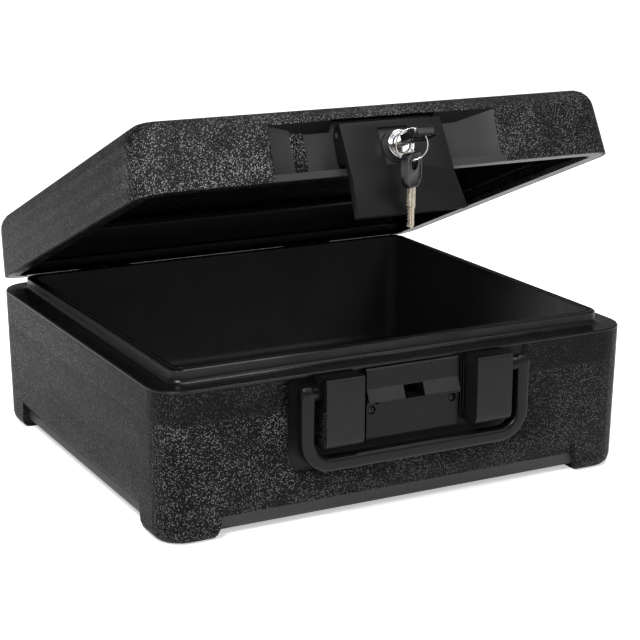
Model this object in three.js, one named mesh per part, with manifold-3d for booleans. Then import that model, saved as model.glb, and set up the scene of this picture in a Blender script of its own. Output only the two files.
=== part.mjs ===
// Portable fire-resistant chest with a key lock, a latch flap and a carrying handle.
// Millimetres, +Z up, front towards -Y. The chest is modelled about the middle of its tub with
// the feet on z = 0, the lid as it lies when shut, and then turned open about its hinge.
// At the end the whole chest is shifted so that the origin is under the middle of its box.
import * as THREE from 'three';
import { mergeVertices } from 'three/addons/utils/BufferGeometryUtils.js';
import Module from 'manifold-3d';

const wasm = await Module();
wasm.setup();

// Driving dimensions
const chestWidth = 388;
const chestDepth = 340;
const ledgeHeight = 112;
const lidHeight = 52;
const partingGap = 0.6;
const cornerRadius = 24;
const lidOpenAngle = THREE.MathUtils.degToRad(22);

// Clearances shared by all pieces, the overrun of a cut and the distance at which points are one
const seatGap = 0.3;
const swingGap = 0.5;
const latchGap = 1.4;
const cutOver = 6;
const weldDistance = 1e-5;

// Numbers of facets
const cornerSteps = 5;
const edgeSteps = 3;
const boreSides = 20;
const faceSides = 30;
const smallSides = 12;
const wireSides = 8;
const ringSteps = 30;

// The lower half: moulded outer shell with four feet, its front wall drawn in near the ground
const base = {
  wall: 2.6,
  draft: THREE.MathUtils.degToRad(1.2),
  bottomEdge: 7.5,
  footHeight: 3.5,
  footLength: 47,
  undercutDepth: 5,
  undercutLow: 15,
  undercutHigh: 24,
  leastCorner: 5,
};

// The fire-resistant fill under the tub and over the lining of the lid
const fill = {
  floor: 16.9,
  roof: 11.6,
};

// The soft-edged shallow field on the front, behind the handle
const field = {
  halfWidth: 104,
  bottom: 33,
  depth: 4,
  blend: 11,
  corner: 14,
};

// How far the field's blend has run, and how deep it then is, as shares of both
const fieldBlendShares = [[1, 1], [0.65, 0.8], [0.35, 0.2], [0, 0]];

// The two upright blocks that carry the handle, either side of the keeper
const blocks = {
  inner: 46.5,
  width: 30,
  height: 51.2,
  reach: 16,
  lowEdge: 8,
  topEdge: 2,
};

// The smooth inner tub with its ledge, tongue, groove and lip
const liner = {
  wall: 2.4,
  flange: 2,
  flangeEdge: 0.8,
  ledge: 16.7,
  tongueWidth: 6.7,
  tongueHeight: 9.8,
  tongueEdge: 0.9,
  footFillet: 3.5,
  lipEdge: 0.8,
  floorEdge: 9,
  draft: THREE.MathUtils.degToRad(2),
  corner: 10,
  grooveSet: 2.5,
  grooveWidth: 2.4,
  grooveDepth: 2.2,
};

const seal = {
  height: 1.7,
};

// The plate between the blocks with the sloped nose that the flap hooks under
const keeper = {
  sideGap: 8.7,
  height: 52.4,
  face: 2.9,
  noseDepth: 4.1,
  noseEdge: 1.9,
  slopeHeight: 9.5,
  holeHalf: 8,
  holeSill: 1.7,
  holeHeight: 9.2,
  holeDepth: 14,
  screwAt: 33.5,
  screwBelow: 4.4,
  screwSink: 2.3,
  chamfer: 1,
};

const screw = {
  headRadius: 2.8,
  headHeight: 1.8,
  shankRadius: 1.6,
  shankLength: 8,
  bossRadius: 4.6,
  bossEnd: 2,
};

// The bail handle, which hangs on two pins in the blocks
const handle = {
  armGap: 7,
  thickness: 10.4,
  barHeight: 11,
  back: 2.8,
  front: 13.6,
  pivotBelow: 12.5,
  pivotBack: 8.2,
  drop: 57.5,
  crown: 6.2,
  corner: 24,
  bevel: 2.8,
  pinRadius: 3,
  bossRadius: 5,
  pinDepth: 11,
  pinHeadRadius: 4,
  pinHead: 1.4,
};

// The two rear hinges, on an axis level with the ledge
const hinge = {
  axisBehind: 8,
  centreAt: 97,
  width: 44,
  leafThickness: 2,
  leafHeight: 24,
  leafGap: 4,
  knuckleRadius: 5,
  pinRadius: 2.1,
  headRadius: 3.5,
  lidKnuckle: 16,
  padExtra: 3,
  screwSpread: 26,
  screwFromEnd: 8,
};

// The lid's outer shell and its lining, which steps over the tongue
const lid = {
  wall: 2.2,
  draft: THREE.MathUtils.degToRad(4.4),
  bottomEdge: 1,
  topEdge: 15,
  leastCorner: 5,
  crownSteps: 5,
  tongueGap: 0.6,
  tongueOver: 1,
  openingGap: 0.6,
  linerWall: 1.6,
  flange: 3.6,
  cavityEdge: 7,
  liningCorner: 10,
};

// The recess in the middle of the lid's front, seen in plan
const recess = {
  rimHalf: 96,
  shoulderHalf: 92,
  shoulderDepth: 4,
  floorHalf: 61,
  floorDepth: 10.5,
  bottom: 5,
  topBelow: 11,
  topDrop: 7.6,
  topSlope: THREE.MathUtils.degToRad(45),
  flapSide: 1.2,
};

// The latch flap, which hangs in the recess and reaches down over the keeper
const flap = {
  topGap: 5.1,
  pinBelow: 6.5,
  pinDepth: 2.5,
  pinRadius: 2.1,
  lugAt: 27,
  lugWidth: 6,
  lugRadius: 3.6,
  lugNotch: 0.6,
  kinkBelow: 4.1,
  drop: 32.8,
  topReach: 4.5,
  kinkReach: 10.5,
  bottomReach: 15,
  blockGap: 2.5,
  taper: 3,
  plate: 3,
  skirt: 2.6,
  skirtOverFloor: 2.9,
  skirtOverLip: 1.4,
  ledgeClear: 3.4,
  sill: 2.2,
  catchGap: 0.5,
  catchStep: 0.7,
  catchShort: 7,
  pocketAround: 1.5,
  pocketUp: 14.5,
  pocketDown: 13,
  pocketDepth: 2.5,
};

// The cam lock in the flap: reaches are measured forward of the lid's front plane
const lock = {
  below: 19.5,
  face: 15,
  flangeBack: 8.5,
  flangeRadius: 10.5,
  barrelRadius: 9,
  barrelBack: 7,
  seatWall: 1.1,
  bossWall: 2.5,
  bossBack: 2,
  plugRadius: 6,
  plugSink: 0.6,
  faceEdge: 0.9,
  nutFlats: 21,
  nutThickness: 4,
  tailRadius: 3.9,
  keywaySide: 0.5,
  keywayFace: 0.35,
  camRadius: 4.4,
  camLength: 11,
  camWidth: 8,
  camThickness: 1.2,
  camScrewRadius: 1.7,
  camScrewHead: 2.9,
  camScrewHeadHeight: 1.4,
  slotSide: 1.2,
  slotOver: 1.5,
  camRoom: 15,
};

const key = {
  standOff: 11,
  headLength: 24,
  headHalf: 10,
  headThickness: 5.2,
  headCorner: 4,
  neckHalf: 5.5,
  neckLength: 5,
  holeRadius: 4.5,
  holeFromEnd: 7.2,
  socket: 9,
  bladeLength: 29,
  bladeHalf: 4.3,
  stepAt: 14,
  stepHalf: 2.9,
  bladeThickness: 2.2,
  toothDepth: 0.9,
  toothPitch: 2.6,
  tip: 1.8,
};

const keyring = {
  radius: 10.9,
  wire: 0.85,
  turn: THREE.MathUtils.degToRad(-26),
  aside: 6.6,
  rise: 0.9,
  spareDrop: 2.1,
};

// The spare key's face is turned this far round from the ring's own plane
const spareTurn = THREE.MathUtils.degToRad(55);

// Planes and heights of the chest
const front = -chestDepth / 2;
const rear = chestDepth / 2;
const lidBottom = ledgeHeight + partingGap;
const lidTop = lidBottom + lidHeight;
const flangeBottom = ledgeHeight - liner.flange;
const shellTop = flangeBottom - seatGap;
const tongueTop = ledgeHeight + liner.tongueHeight;
const openingInset = liner.ledge + liner.tongueWidth;
const grooveInset = liner.ledge + liner.grooveSet;
const tubFloor = base.footHeight + base.wall + fill.floor + liner.wall + seatGap * 2;
const fieldBack = front + field.depth;

// Places of the blocks and the handle
const blockOuter = blocks.inner + blocks.width;
const blockBottom = shellTop - blocks.height;
const armInner = blockOuter + handle.armGap;
const armAt = armInner + handle.thickness / 2;
const armOuter = armInner + handle.thickness;
const pivotY = front - handle.pivotBack;
const pivotZ = ledgeHeight - handle.pivotBelow;

// Places of the hinges
const hingeCentres = { left: -hinge.centreAt, right: hinge.centreAt };
const hingeAxisY = rear + hinge.axisBehind;
const hingeAxisZ = ledgeHeight;
const hingeBore = hinge.pinRadius + seatGap;

// Insets and heights of the lid's lining
const lidStepInset = liner.ledge - lid.tongueGap;
const lidStepHeight = liner.tongueHeight - partingGap + lid.tongueOver;
const cavityInset = openingInset + lid.openingGap;
const cavityHeight = lidHeight - lid.wall - fill.roof - lid.linerWall - seatGap * 2;

// Places of the latch flap, of its hinge pin and of the pocket in its face
const flapTop = lidTop - recess.topBelow - flap.topGap;
const flapKink = lidBottom - flap.kinkBelow;
const flapBottom = lidBottom - flap.drop;
const flapBottomHalf = blocks.inner - flap.blockGap;
const flapHalf = flapBottomHalf - flap.taper;
const flapPinY = front + flap.pinDepth;
const flapPinZ = flapTop - flap.pinBelow;
const lockZ = flapTop - lock.below;
const pocketHalf = lock.flangeRadius + flap.pocketAround;
const pocketTop = lockZ + flap.pocketUp;
const pocketBottom = lockZ - flap.pocketDown;

// The keeper's nose stands just above the flap's catch, and the catch just clears its reach
const keeperTop = shellTop - seatGap;
const keeperHalf = blocks.inner - keeper.sideGap;
const noseReach = keeper.face + keeper.noseDepth;
const catchReach = noseReach + flap.catchGap;
const noseBottom = flapBottom + flap.sill + latchGap;
const noseTop = noseBottom + keeper.noseEdge;
const slopeTop = noseTop + keeper.slopeHeight;
const keeperScrewZ = noseBottom - keeper.screwBelow;
const holeBottom = noseBottom + keeper.holeSill;

// Finishes
const texturedResin = new THREE.MeshStandardMaterial({ color: '#2e2e30', roughness: 0.7, metalness: 0 });
const smoothResin = new THREE.MeshStandardMaterial({ color: '#1a1a1c', roughness: 0.42, metalness: 0 });
const mineralFill = new THREE.MeshStandardMaterial({ color: '#b9b4a8', roughness: 0.95, metalness: 0 });
const rubber = new THREE.MeshStandardMaterial({ color: '#101010', roughness: 0.8, metalness: 0 });
const chrome = new THREE.MeshStandardMaterial({ color: '#d4d6d8', roughness: 0.12, metalness: 1 });
const nickel = new THREE.MeshStandardMaterial({ color: '#b9b2a4', roughness: 0.32, metalness: 1 });
const steel = new THREE.MeshStandardMaterial({ color: '#8c8f92', roughness: 0.38, metalness: 1 });
const keyPlastic = new THREE.MeshStandardMaterial({ color: '#17171a', roughness: 0.5, metalness: 0 });

// Solids and meshes
function solid(geometry) {
  const bare = geometry.clone();
  bare.deleteAttribute('normal');
  bare.deleteAttribute('uv');
  const merged = mergeVertices(bare, weldDistance);
  return new wasm.Manifold(new wasm.Mesh({
    numProp: 3,
    vertProperties: new Float32Array(merged.attributes.position.array),
    triVerts: new Uint32Array(merged.index.array),
  }));
}

function piece(name, body, material) {
  const mesh = body.getMesh();
  const geometry = new THREE.BufferGeometry();
  geometry.setAttribute('position', new THREE.BufferAttribute(new Float32Array(mesh.vertProperties), 3));
  geometry.setIndex(new THREE.BufferAttribute(new Uint32Array(mesh.triVerts), 1));
  geometry.computeVertexNormals();
  const node = new THREE.Mesh(geometry, material);
  node.name = name;
  return node;
}

function union(...bodies) {
  return bodies.reduce((all, body) => all.add(body));
}

function box(x0, x1, y0, y1, z0, z1) {
  const geometry = new THREE.BoxGeometry(x1 - x0, y1 - y0, z1 - z0);
  return solid(geometry.translate((x0 + x1) / 2, (y0 + y1) / 2, (z0 + z1) / 2));
}

function mirrored(build) {
  return union(build(-1), build(1));
}

function polygon(points) {
  return new THREE.Shape(points.map(([x, y]) => new THREE.Vector2(x, y)));
}

function extruded(shape, depth) {
  return new THREE.ExtrudeGeometry(shape, { depth, bevelEnabled: false, curveSegments: cornerSteps });
}

// A profile drawn in (y, z) and run along X
function alongX(shape, x0, x1) {
  const turn = new THREE.Matrix4().makeBasis(
    new THREE.Vector3(0, 1, 0),
    new THREE.Vector3(0, 0, 1),
    new THREE.Vector3(1, 0, 0),
  );
  return solid(extruded(shape, x1 - x0).applyMatrix4(turn).translate(x0, 0, 0));
}

// A profile drawn in (x, z) and run along Y
function alongY(shape, y0, y1) {
  return solid(extruded(shape, y1 - y0).rotateX(Math.PI / 2).translate(0, y1, 0));
}

// A profile drawn in (x, y) and run along Z
function alongZ(shape, z0, z1) {
  return solid(extruded(shape, z1 - z0).translate(0, 0, z0));
}

// A cylinder along X, Y or Z with its two ends at from and to on that axis
function rod(axis, radius, from, to, u = 0, v = 0, sides = boreSides) {
  const geometry = new THREE.CylinderGeometry(radius, radius, to - from, sides);
  const middle = (from + to) / 2;
  if (axis === 'x') return solid(geometry.rotateZ(-Math.PI / 2).translate(middle, u, v));
  if (axis === 'y') return solid(geometry.translate(u, middle, v));
  return solid(geometry.rotateX(Math.PI / 2).translate(u, v, middle));
}

// A body of revolution about the Y axis from a profile of [radius, y] points
function turnedAboutY(profile, sides = boreSides) {
  const points = profile.map(([radius, along]) => new THREE.Vector2(radius, along));
  return solid(new THREE.LatheGeometry(points, sides));
}

// A rounded rectangle of points, counter-clockwise, at one height
function outline(halfX, halfY, radius, z) {
  const points = [];
  for (const [signX, signY, start] of [[1, -1, -1], [1, 1, 0], [-1, 1, 1], [-1, -1, 2]]) {
    for (let step = 0; step <= cornerSteps; step += 1) {
      const angle = (start + step / cornerSteps) * Math.PI / 2;
      points.push(new THREE.Vector3(
        signX * (halfX - radius) + radius * Math.cos(angle),
        signY * (halfY - radius) + radius * Math.sin(angle),
        z,
      ));
    }
  }
  return points;
}

// A closed solid through outlines that have equally many points, the lowest first
function loft(outlines) {
  const count = outlines[0].length;
  const last = (outlines.length - 1) * count;
  const index = [];
  for (let row = 0; row < outlines.length - 1; row += 1) {
    for (let i = 0; i < count; i += 1) {
      const a = row * count + i;
      const b = row * count + (i + 1) % count;
      index.push(a, b, b + count, a, b + count, a + count);
    }
  }
  for (let i = 1; i < count - 1; i += 1) {
    index.push(0, i + 1, i, last, last + i, last + i + 1);
  }
  const geometry = new THREE.BufferGeometry();
  const positions = outlines.flat().flatMap((point) => [point.x, point.y, point.z]);
  geometry.setAttribute('position', new THREE.Float32BufferAttribute(positions, 3));
  geometry.setIndex(index);
  return solid(geometry);
}

// The heights and insets of a quarter round at the low or high edge of a loft
function quarterRound(radius, steps) {
  const list = [];
  for (let step = 0; step <= steps; step += 1) {
    const angle = (step / steps) * Math.PI / 2;
    list.push({ up: radius * (1 - Math.cos(angle)), inward: radius * (1 - Math.sin(angle)) });
  }
  return list;
}

// Outline of the base at one height, drawn in from the outside by inset
function baseOutline(inset, z) {
  const drawn = inset + (ledgeHeight - z) * Math.tan(base.draft);
  const radius = Math.max(cornerRadius - drawn, base.leastCorner);
  return outline(chestWidth / 2 - drawn, chestDepth / 2 - drawn, radius, z);
}

// The base between its feet: drawn in near the ground, with a soft blend above
function baseTrunk(inset, top) {
  const bottom = base.footHeight + inset;
  const rows = quarterRound(base.bottomEdge, edgeSteps).map(({ up, inward }) => (
    baseOutline(inset + base.undercutDepth + inward, bottom + up)));
  const low = base.undercutLow + inset;
  const high = base.undercutHigh + inset;
  rows.push(baseOutline(inset + base.undercutDepth, low));
  rows.push(baseOutline(inset + base.undercutDepth / 2, (low + high) / 2));
  rows.push(baseOutline(inset, high));
  rows.push(baseOutline(inset, top));
  return loft(rows);
}

function baseFeet() {
  const rows = quarterRound(base.bottomEdge, edgeSteps).map(({ up, inward }) => (
    baseOutline(inward, up)));
  rows.push(baseOutline(0, base.undercutHigh));
  const whole = loft(rows);
  const x = chestWidth / 2 - base.footLength;
  const y = chestDepth / 2 - base.footLength;
  const far = chestWidth;
  const top = base.undercutHigh;
  const corners = union(
    box(x, far, y, far, -cutOver, top),
    box(-far, -x, y, far, -cutOver, top),
    box(x, far, -far, -y, -cutOver, top),
    box(-far, -x, -far, -y, -cutOver, top),
  );
  return whole.intersect(corners);
}

// The shallow field on the front, grown on all sides by grow
function frontField(grow, reach) {
  const rows = [];
  const addRow = (share, depth) => {
    const drawn = share * field.blend;
    const half = field.halfWidth + grow - drawn;
    const low = field.bottom - grow + drawn;
    const high = ledgeHeight + cutOver;
    const flat = outline(half, (high - low) / 2, field.corner, 0);
    rows.push(flat.map((point) => (
      new THREE.Vector3(point.x, front + depth + grow, (low + high) / 2 + point.y))));
  };
  for (const [across, deep] of fieldBlendShares) {
    addRow(across, field.depth * deep);
  }
  addRow(0, -reach);
  return loft(rows);
}

// The room inside the outer shell of the base, drawn in by inset
function baseRoom(inset, top) {
  return baseTrunk(inset, top).subtract(frontField(inset, cutOver + inset));
}

function block(side) {
  const back = fieldBack + base.wall / 2;
  const face = front - blocks.reach;
  const profile = new THREE.Shape();
  profile.moveTo(back, shellTop);
  profile.lineTo(face + blocks.topEdge, shellTop);
  profile.quadraticCurveTo(face, shellTop, face, shellTop - blocks.topEdge);
  profile.lineTo(face, blockBottom + blocks.lowEdge);
  profile.quadraticCurveTo(face, blockBottom, face + blocks.lowEdge, blockBottom);
  profile.lineTo(back, blockBottom);
  profile.closePath();
  const inner = side * blocks.inner;
  const outer = side * blockOuter;
  return alongX(profile, Math.min(inner, outer), Math.max(inner, outer));
}

function hingeSpots() {
  return [-hinge.screwSpread / 2, hinge.screwSpread / 2];
}

// Heights of the screws in the leaves, measured up or down from the hinge axis
const leafScrewOffset = hinge.leafGap + hinge.leafHeight - hinge.screwFromEnd;

// Every place of a screw in the hinges of one half: direction -1 is the base, 1 the lid
function leafScrews(direction) {
  const places = [];
  for (const centre of Object.values(hingeCentres)) {
    for (const spot of hingeSpots()) {
      places.push({ x: centre + spot, z: hingeAxisZ + direction * leafScrewOffset });
    }
  }
  return places;
}

// A boss behind a wall at the rear that takes a hinge screw, grown by grow
function screwBoss(place, grow) {
  const end = rear - screw.shankLength - screw.bossEnd - grow;
  return rod('y', screw.bossRadius + grow, end, rear, place.x, place.z, smallSides);
}

function screwHole(place) {
  const end = rear - screw.shankLength - seatGap;
  return rod('y', screw.shankRadius + seatGap, end, rear + cutOver, place.x, place.z, smallSides);
}

// A flat pad on the rear wall under a hinge leaf
function leafPad(centre, direction) {
  const low = hingeAxisZ + direction * hinge.leafGap;
  const high = hingeAxisZ + direction * (hinge.leafGap + hinge.leafHeight + hinge.padExtra);
  const half = hinge.width / 2 + hinge.padExtra;
  const limit = direction > 0 ? lidBottom + lid.bottomEdge : shellTop;
  const bottom = direction > 0 ? Math.max(low, limit) : high;
  const top = direction > 0 ? high : Math.min(low, limit);
  return box(centre - half, centre + half, rear - hinge.padExtra * 2, rear, bottom, top);
}

function keeperScrewBoss(side, grow) {
  const end = fieldBack + screw.shankLength + grow;
  return rod('y', screw.bossRadius + grow, fieldBack, end, side * keeper.screwAt, keeperScrewZ, smallSides);
}

function strikeHole(grow) {
  const half = keeper.holeHalf + grow;
  const end = front + keeper.holeDepth + grow;
  return box(-half, half, front - cutOver * 2, end, holeBottom - grow, holeBottom + keeper.holeHeight + grow);
}

function pinHole(side) {
  const radius = handle.pinRadius + seatGap;
  const from = side * (blockOuter - handle.pinDepth);
  const to = side * (blockOuter + cutOver);
  return rod('x', radius, Math.min(from, to), Math.max(from, to), pivotY, pivotZ);
}

function baseShell() {
  let body = union(baseTrunk(0, shellTop), baseFeet());
  for (const centre of Object.values(hingeCentres)) {
    body = body.add(leafPad(centre, -1));
  }
  body = body.subtract(frontField(0, cutOver));
  body = union(body, block(-1), block(1));
  let room = baseRoom(base.wall, shellTop + cutOver);
  for (const place of leafScrews(-1)) {
    room = room.subtract(screwBoss(place, 0));
  }
  room = room.subtract(mirrored((side) => keeperScrewBoss(side, 0)));
  body = body.subtract(room);
  for (const place of leafScrews(-1)) {
    body = body.subtract(screwHole(place));
  }
  body = body.subtract(strikeHole(0));
  body = body.subtract(mirrored((side) => keeperScrewHole(side)));
  body = body.subtract(mirrored(pinHole));
  return body;
}

function keeperScrewHole(side) {
  const end = fieldBack + screw.shankLength - screw.bossEnd;
  return rod('y', screw.shankRadius + seatGap, front - noseReach, end,
    side * keeper.screwAt, keeperScrewZ, smallSides);
}

// The sink in the keeper that takes a screw's head
function keeperScrewSink(side) {
  const seat = front - keeper.face + keeper.screwSink;
  return rod('y', screw.headRadius + seatGap, front - noseReach, seat,
    side * keeper.screwAt, keeperScrewZ, smallSides);
}

// The tub inside the base; grow makes it larger all round
function tubOutside(grow, top) {
  const wall = liner.wall + grow;
  return tubLoft(openingInset - wall, tubFloor - wall, top, liner.floorEdge);
}

function tubLoft(inset, bottom, top, edge) {
  const at = (drawn, z) => {
    const inward = drawn + (ledgeHeight - z) * Math.tan(liner.draft);
    return outline(chestWidth / 2 - inward, chestDepth / 2 - inward, liner.corner, z);
  };
  const rows = quarterRound(edge, edgeSteps).map(({ up, inward }) => at(inset + inward, bottom + up));
  rows.push(at(inset, top));
  return loft(rows);
}

function rimOutline(inset, z) {
  const radius = Math.max(cornerRadius - inset, liner.corner);
  return outline(chestWidth / 2 - inset, chestDepth / 2 - inset, radius, z);
}

function grooveRing(from, to, low, high) {
  const outer = loft([rimOutline(from, low), rimOutline(from, high)]);
  const inner = loft([rimOutline(to, low - cutOver), rimOutline(to, high + cutOver)]);
  return outer.subtract(inner);
}

function baseLiner() {
  const flange = loft([
    rimOutline(0, flangeBottom),
    rimOutline(0, ledgeHeight - liner.flangeEdge),
    rimOutline(liner.flangeEdge, ledgeHeight),
  ]);
  const foot = quarterRound(liner.footFillet, edgeSteps).map(({ up, inward }) => (
    rimOutline(liner.ledge - up, ledgeHeight + inward)));
  const tongue = loft([
    rimOutline(liner.ledge - liner.footFillet, flangeBottom),
    ...foot.reverse(),
    rimOutline(liner.ledge, tongueTop - liner.tongueEdge),
    rimOutline(liner.ledge + liner.tongueEdge, tongueTop),
  ]);
  const lip = loft([
    rimOutline(openingInset, tongueTop - liner.lipEdge),
    rimOutline(openingInset - liner.lipEdge * 2, tongueTop + liner.lipEdge),
  ]);
  let body = union(flange, tongue, tubOutside(0, ledgeHeight));
  body = body.subtract(tubLoft(openingInset, tubFloor, tongueTop + cutOver, liner.floorEdge));
  body = body.subtract(lip);
  const groove = grooveRing(
    grooveInset, grooveInset + liner.grooveWidth, tongueTop - liner.grooveDepth, tongueTop + cutOver);
  return body.subtract(groove);
}

function rimSeal() {
  const low = tongueTop - liner.grooveDepth + seatGap;
  return grooveRing(
    grooveInset + seatGap, grooveInset + liner.grooveWidth - seatGap, low, low + seal.height);
}

function baseFill() {
  const inset = base.wall + seatGap;
  let body = baseRoom(inset, shellTop - seatGap);
  for (const place of leafScrews(-1)) {
    body = body.subtract(screwBoss(place, seatGap));
  }
  body = body.subtract(mirrored((side) => keeperScrewBoss(side, seatGap)));
  body = body.subtract(strikeHole(seatGap));
  return body.subtract(tubOutside(seatGap, ledgeHeight + cutOver));
}

function keeperPlate() {
  const back = fieldBack - seatGap;
  const face = front - keeper.face;
  const nose = front - noseReach;
  const keeperBottom = keeperTop - keeper.height;
  const profile = polygon([
    [back, keeperBottom],
    [back, keeperTop],
    [face + keeper.chamfer, keeperTop],
    [face, keeperTop - keeper.chamfer],
    [face, slopeTop],
    [nose, noseTop],
    [nose, noseBottom],
    [face, noseBottom],
    [face, keeperBottom + keeper.chamfer],
    [face + keeper.chamfer, keeperBottom],
  ].reverse());
  let body = alongX(profile, -keeperHalf, keeperHalf);
  body = body.subtract(strikeHole(0));
  return body.subtract(mirrored((side) => union(keeperScrewHole(side), keeperScrewSink(side))));
}

// A pan-head screw along Y; direction is the way its head faces
function screwAlongY(x, headSeat, z, direction) {
  const headEnd = headSeat + direction * screw.headHeight;
  const tip = headSeat - direction * screw.shankLength;
  const middle = (headSeat + headEnd) / 2;
  const low = Math.min(headSeat, headEnd);
  const high = Math.max(headSeat, headEnd);
  const head = rod('y', screw.headRadius, low, high, x, z, smallSides);
  const shank = rod('y', screw.shankRadius, Math.min(middle, tip), Math.max(middle, tip), x, z, smallSides);
  const slotWidth = screw.shankRadius / 2;
  const slotBottom = headEnd - direction * screw.headHeight / 2;
  const slotEnd = headEnd + direction * cutOver;
  const y0 = Math.min(slotBottom, slotEnd);
  const y1 = Math.max(slotBottom, slotEnd);
  const arm = screw.shankRadius;
  const cross = union(
    box(x - arm, x + arm, y0, y1, z - slotWidth / 2, z + slotWidth / 2),
    box(x - slotWidth / 2, x + slotWidth / 2, y0, y1, z - arm, z + arm),
  );
  return union(head, shank).subtract(cross);
}

function keeperScrew(side) {
  const seat = front - keeper.face + keeper.screwSink - seatGap;
  return screwAlongY(side * keeper.screwAt, seat, keeperScrewZ, -1);
}

function handleBail() {
  const bevel = handle.bevel;
  const barBottom = pivotZ - handle.drop;
  const innerCorner = handle.corner - handle.thickness;
  const low = barBottom + bevel;
  const barTop = barBottom + handle.barHeight - bevel;
  const out = armOuter - bevel;
  const inn = armInner + bevel;
  const top = pivotZ + handle.crown - bevel;
  const round = (handle.thickness - bevel * 2) / 2;
  const corner = handle.corner - bevel;
  const bend = innerCorner + bevel;
  const bail = new THREE.Shape();
  bail.moveTo(-out, top - round);
  bail.lineTo(-out, low + corner);
  bail.absarc(-out + corner, low + corner, corner, Math.PI, Math.PI * 1.5, false);
  bail.absarc(out - corner, low + corner, corner, Math.PI * 1.5, Math.PI * 2, false);
  bail.lineTo(out, top - round);
  bail.absarc(armAt, top - round, round, 0, Math.PI, false);
  bail.lineTo(inn, barTop + bend);
  bail.absarc(inn - bend, barTop + bend, bend, 0, -Math.PI / 2, true);
  bail.absarc(-inn + bend, barTop + bend, bend, -Math.PI / 2, -Math.PI, true);
  bail.lineTo(-inn, top - round);
  bail.absarc(-armAt, top - round, round, 0, Math.PI, false);
  const depth = handle.front - handle.back;
  const geometry = new THREE.ExtrudeGeometry(bail, {
    depth: depth - bevel * 2,
    bevelThickness: bevel,
    bevelSize: bevel,
    bevelSegments: 2,
    curveSegments: cornerSteps,
  });
  geometry.rotateX(Math.PI / 2).translate(0, front - handle.back - bevel, 0);
  let body = solid(geometry);
  body = body.add(mirrored((side) => {
    const from = side * (blockOuter + swingGap);
    const to = side * armAt;
    return rod('x', handle.bossRadius, Math.min(from, to), Math.max(from, to), pivotY, pivotZ);
  }));
  return body.subtract(mirrored((side) => {
    const bore = handle.pinRadius + seatGap;
    const from = side * (blockOuter - swingGap);
    const to = side * (armOuter + cutOver);
    const sink = side * (armOuter - handle.pinHead);
    return union(
      rod('x', bore, Math.min(from, to), Math.max(from, to), pivotY, pivotZ),
      rod('x', handle.pinHeadRadius + seatGap, Math.min(sink, to), Math.max(sink, to),
        pivotY, pivotZ),
    );
  }));
}

function handlePin(side) {
  const from = side * (blockOuter - handle.pinDepth + seatGap);
  const seat = side * (armOuter - handle.pinHead + seatGap);
  const to = side * (armOuter + seatGap);
  return union(
    rod('x', handle.pinRadius, Math.min(from, seat), Math.max(from, seat), pivotY, pivotZ),
    rod('x', handle.pinHeadRadius, Math.min(seat, to), Math.max(seat, to), pivotY, pivotZ),
  );
}

// One leaf with its knuckles: direction -1 stands on the base, 1 on the lid
function hingeLeaf(centre, direction) {
  const half = hinge.width / 2;
  const near = rear + seatGap;
  const far = near + hinge.leafThickness;
  const low = hingeAxisZ + direction * hinge.leafGap;
  const high = hingeAxisZ + direction * (hinge.leafGap + hinge.leafHeight);
  const knuckleHalf = hinge.lidKnuckle / 2;
  const spans = direction > 0
    ? [[-knuckleHalf, knuckleHalf]]
    : [[-half, -knuckleHalf - seatGap], [knuckleHalf + seatGap, half]];
  let body = box(centre - half, centre + half, near, far, Math.min(low, high), Math.max(low, high));
  for (const [from, to] of spans) {
    const web = polygon([
      [near, low],
      [near, low + direction * hinge.leafThickness],
      [far, low + direction * hinge.leafThickness],
      [hingeAxisY + hinge.pinRadius, hingeAxisZ + direction * hinge.pinRadius],
      [hingeAxisY - hinge.pinRadius, hingeAxisZ + direction * hinge.pinRadius],
    ]);
    const points = web.getPoints();
    const turned = THREE.ShapeUtils.isClockWise(points) ? points.reverse() : points;
    body = body.add(alongX(new THREE.Shape(turned), centre + from, centre + to));
    body = body.add(rod('x', hinge.knuckleRadius, centre + from, centre + to, hingeAxisY, hingeAxisZ));
  }
  body = body.subtract(rod('x', hingeBore, centre - half - cutOver, centre + half + cutOver,
    hingeAxisY, hingeAxisZ));
  for (const spot of hingeSpots()) {
    const z = hingeAxisZ + direction * leafScrewOffset;
    body = body.subtract(rod('y', screw.shankRadius + seatGap, near - cutOver, far + cutOver,
      centre + spot, z, smallSides));
  }
  return body;
}

function hingePin(centre) {
  const half = hinge.width / 2;
  const head = hinge.leafThickness;
  return union(
    rod('x', hinge.pinRadius, centre - half - head, centre + half + head, hingeAxisY, hingeAxisZ),
    rod('x', hinge.headRadius, centre - half - head, centre - half - seatGap, hingeAxisY, hingeAxisZ),
  );
}

function leafScrewMeshes(name, direction) {
  const seat = rear + seatGap + hinge.leafThickness + seatGap;
  return leafScrews(direction).map(({ x, z }, index) => (
    piece(`${name}_${index + 1}`, screwAlongY(x, seat, z, 1), steel)));
}

// Outline of the lid at one height, drawn in by inset
function lidOutline(inset, z) {
  const drawn = inset + (z - lidBottom) * Math.tan(lid.draft);
  const radius = Math.max(cornerRadius - drawn, lid.leastCorner);
  return outline(chestWidth / 2 - drawn, chestDepth / 2 - drawn, radius, z);
}

function lidTrunk(inset, bottom) {
  const top = lidTop - inset;
  const crown = Math.max(lid.topEdge - inset, lid.leastCorner);
  const rows = [lidOutline(inset, bottom)];
  const rounds = quarterRound(crown, lid.crownSteps).reverse();
  for (const { up, inward } of rounds) {
    const shoulder = top - up;
    const drawn = (top - crown - lidBottom) * Math.tan(lid.draft) + inset + inward;
    const radius = Math.max(cornerRadius - drawn, lid.leastCorner);
    rows.push(outline(chestWidth / 2 - drawn, chestDepth / 2 - drawn, radius, shoulder));
  }
  return loft(rows);
}

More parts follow.
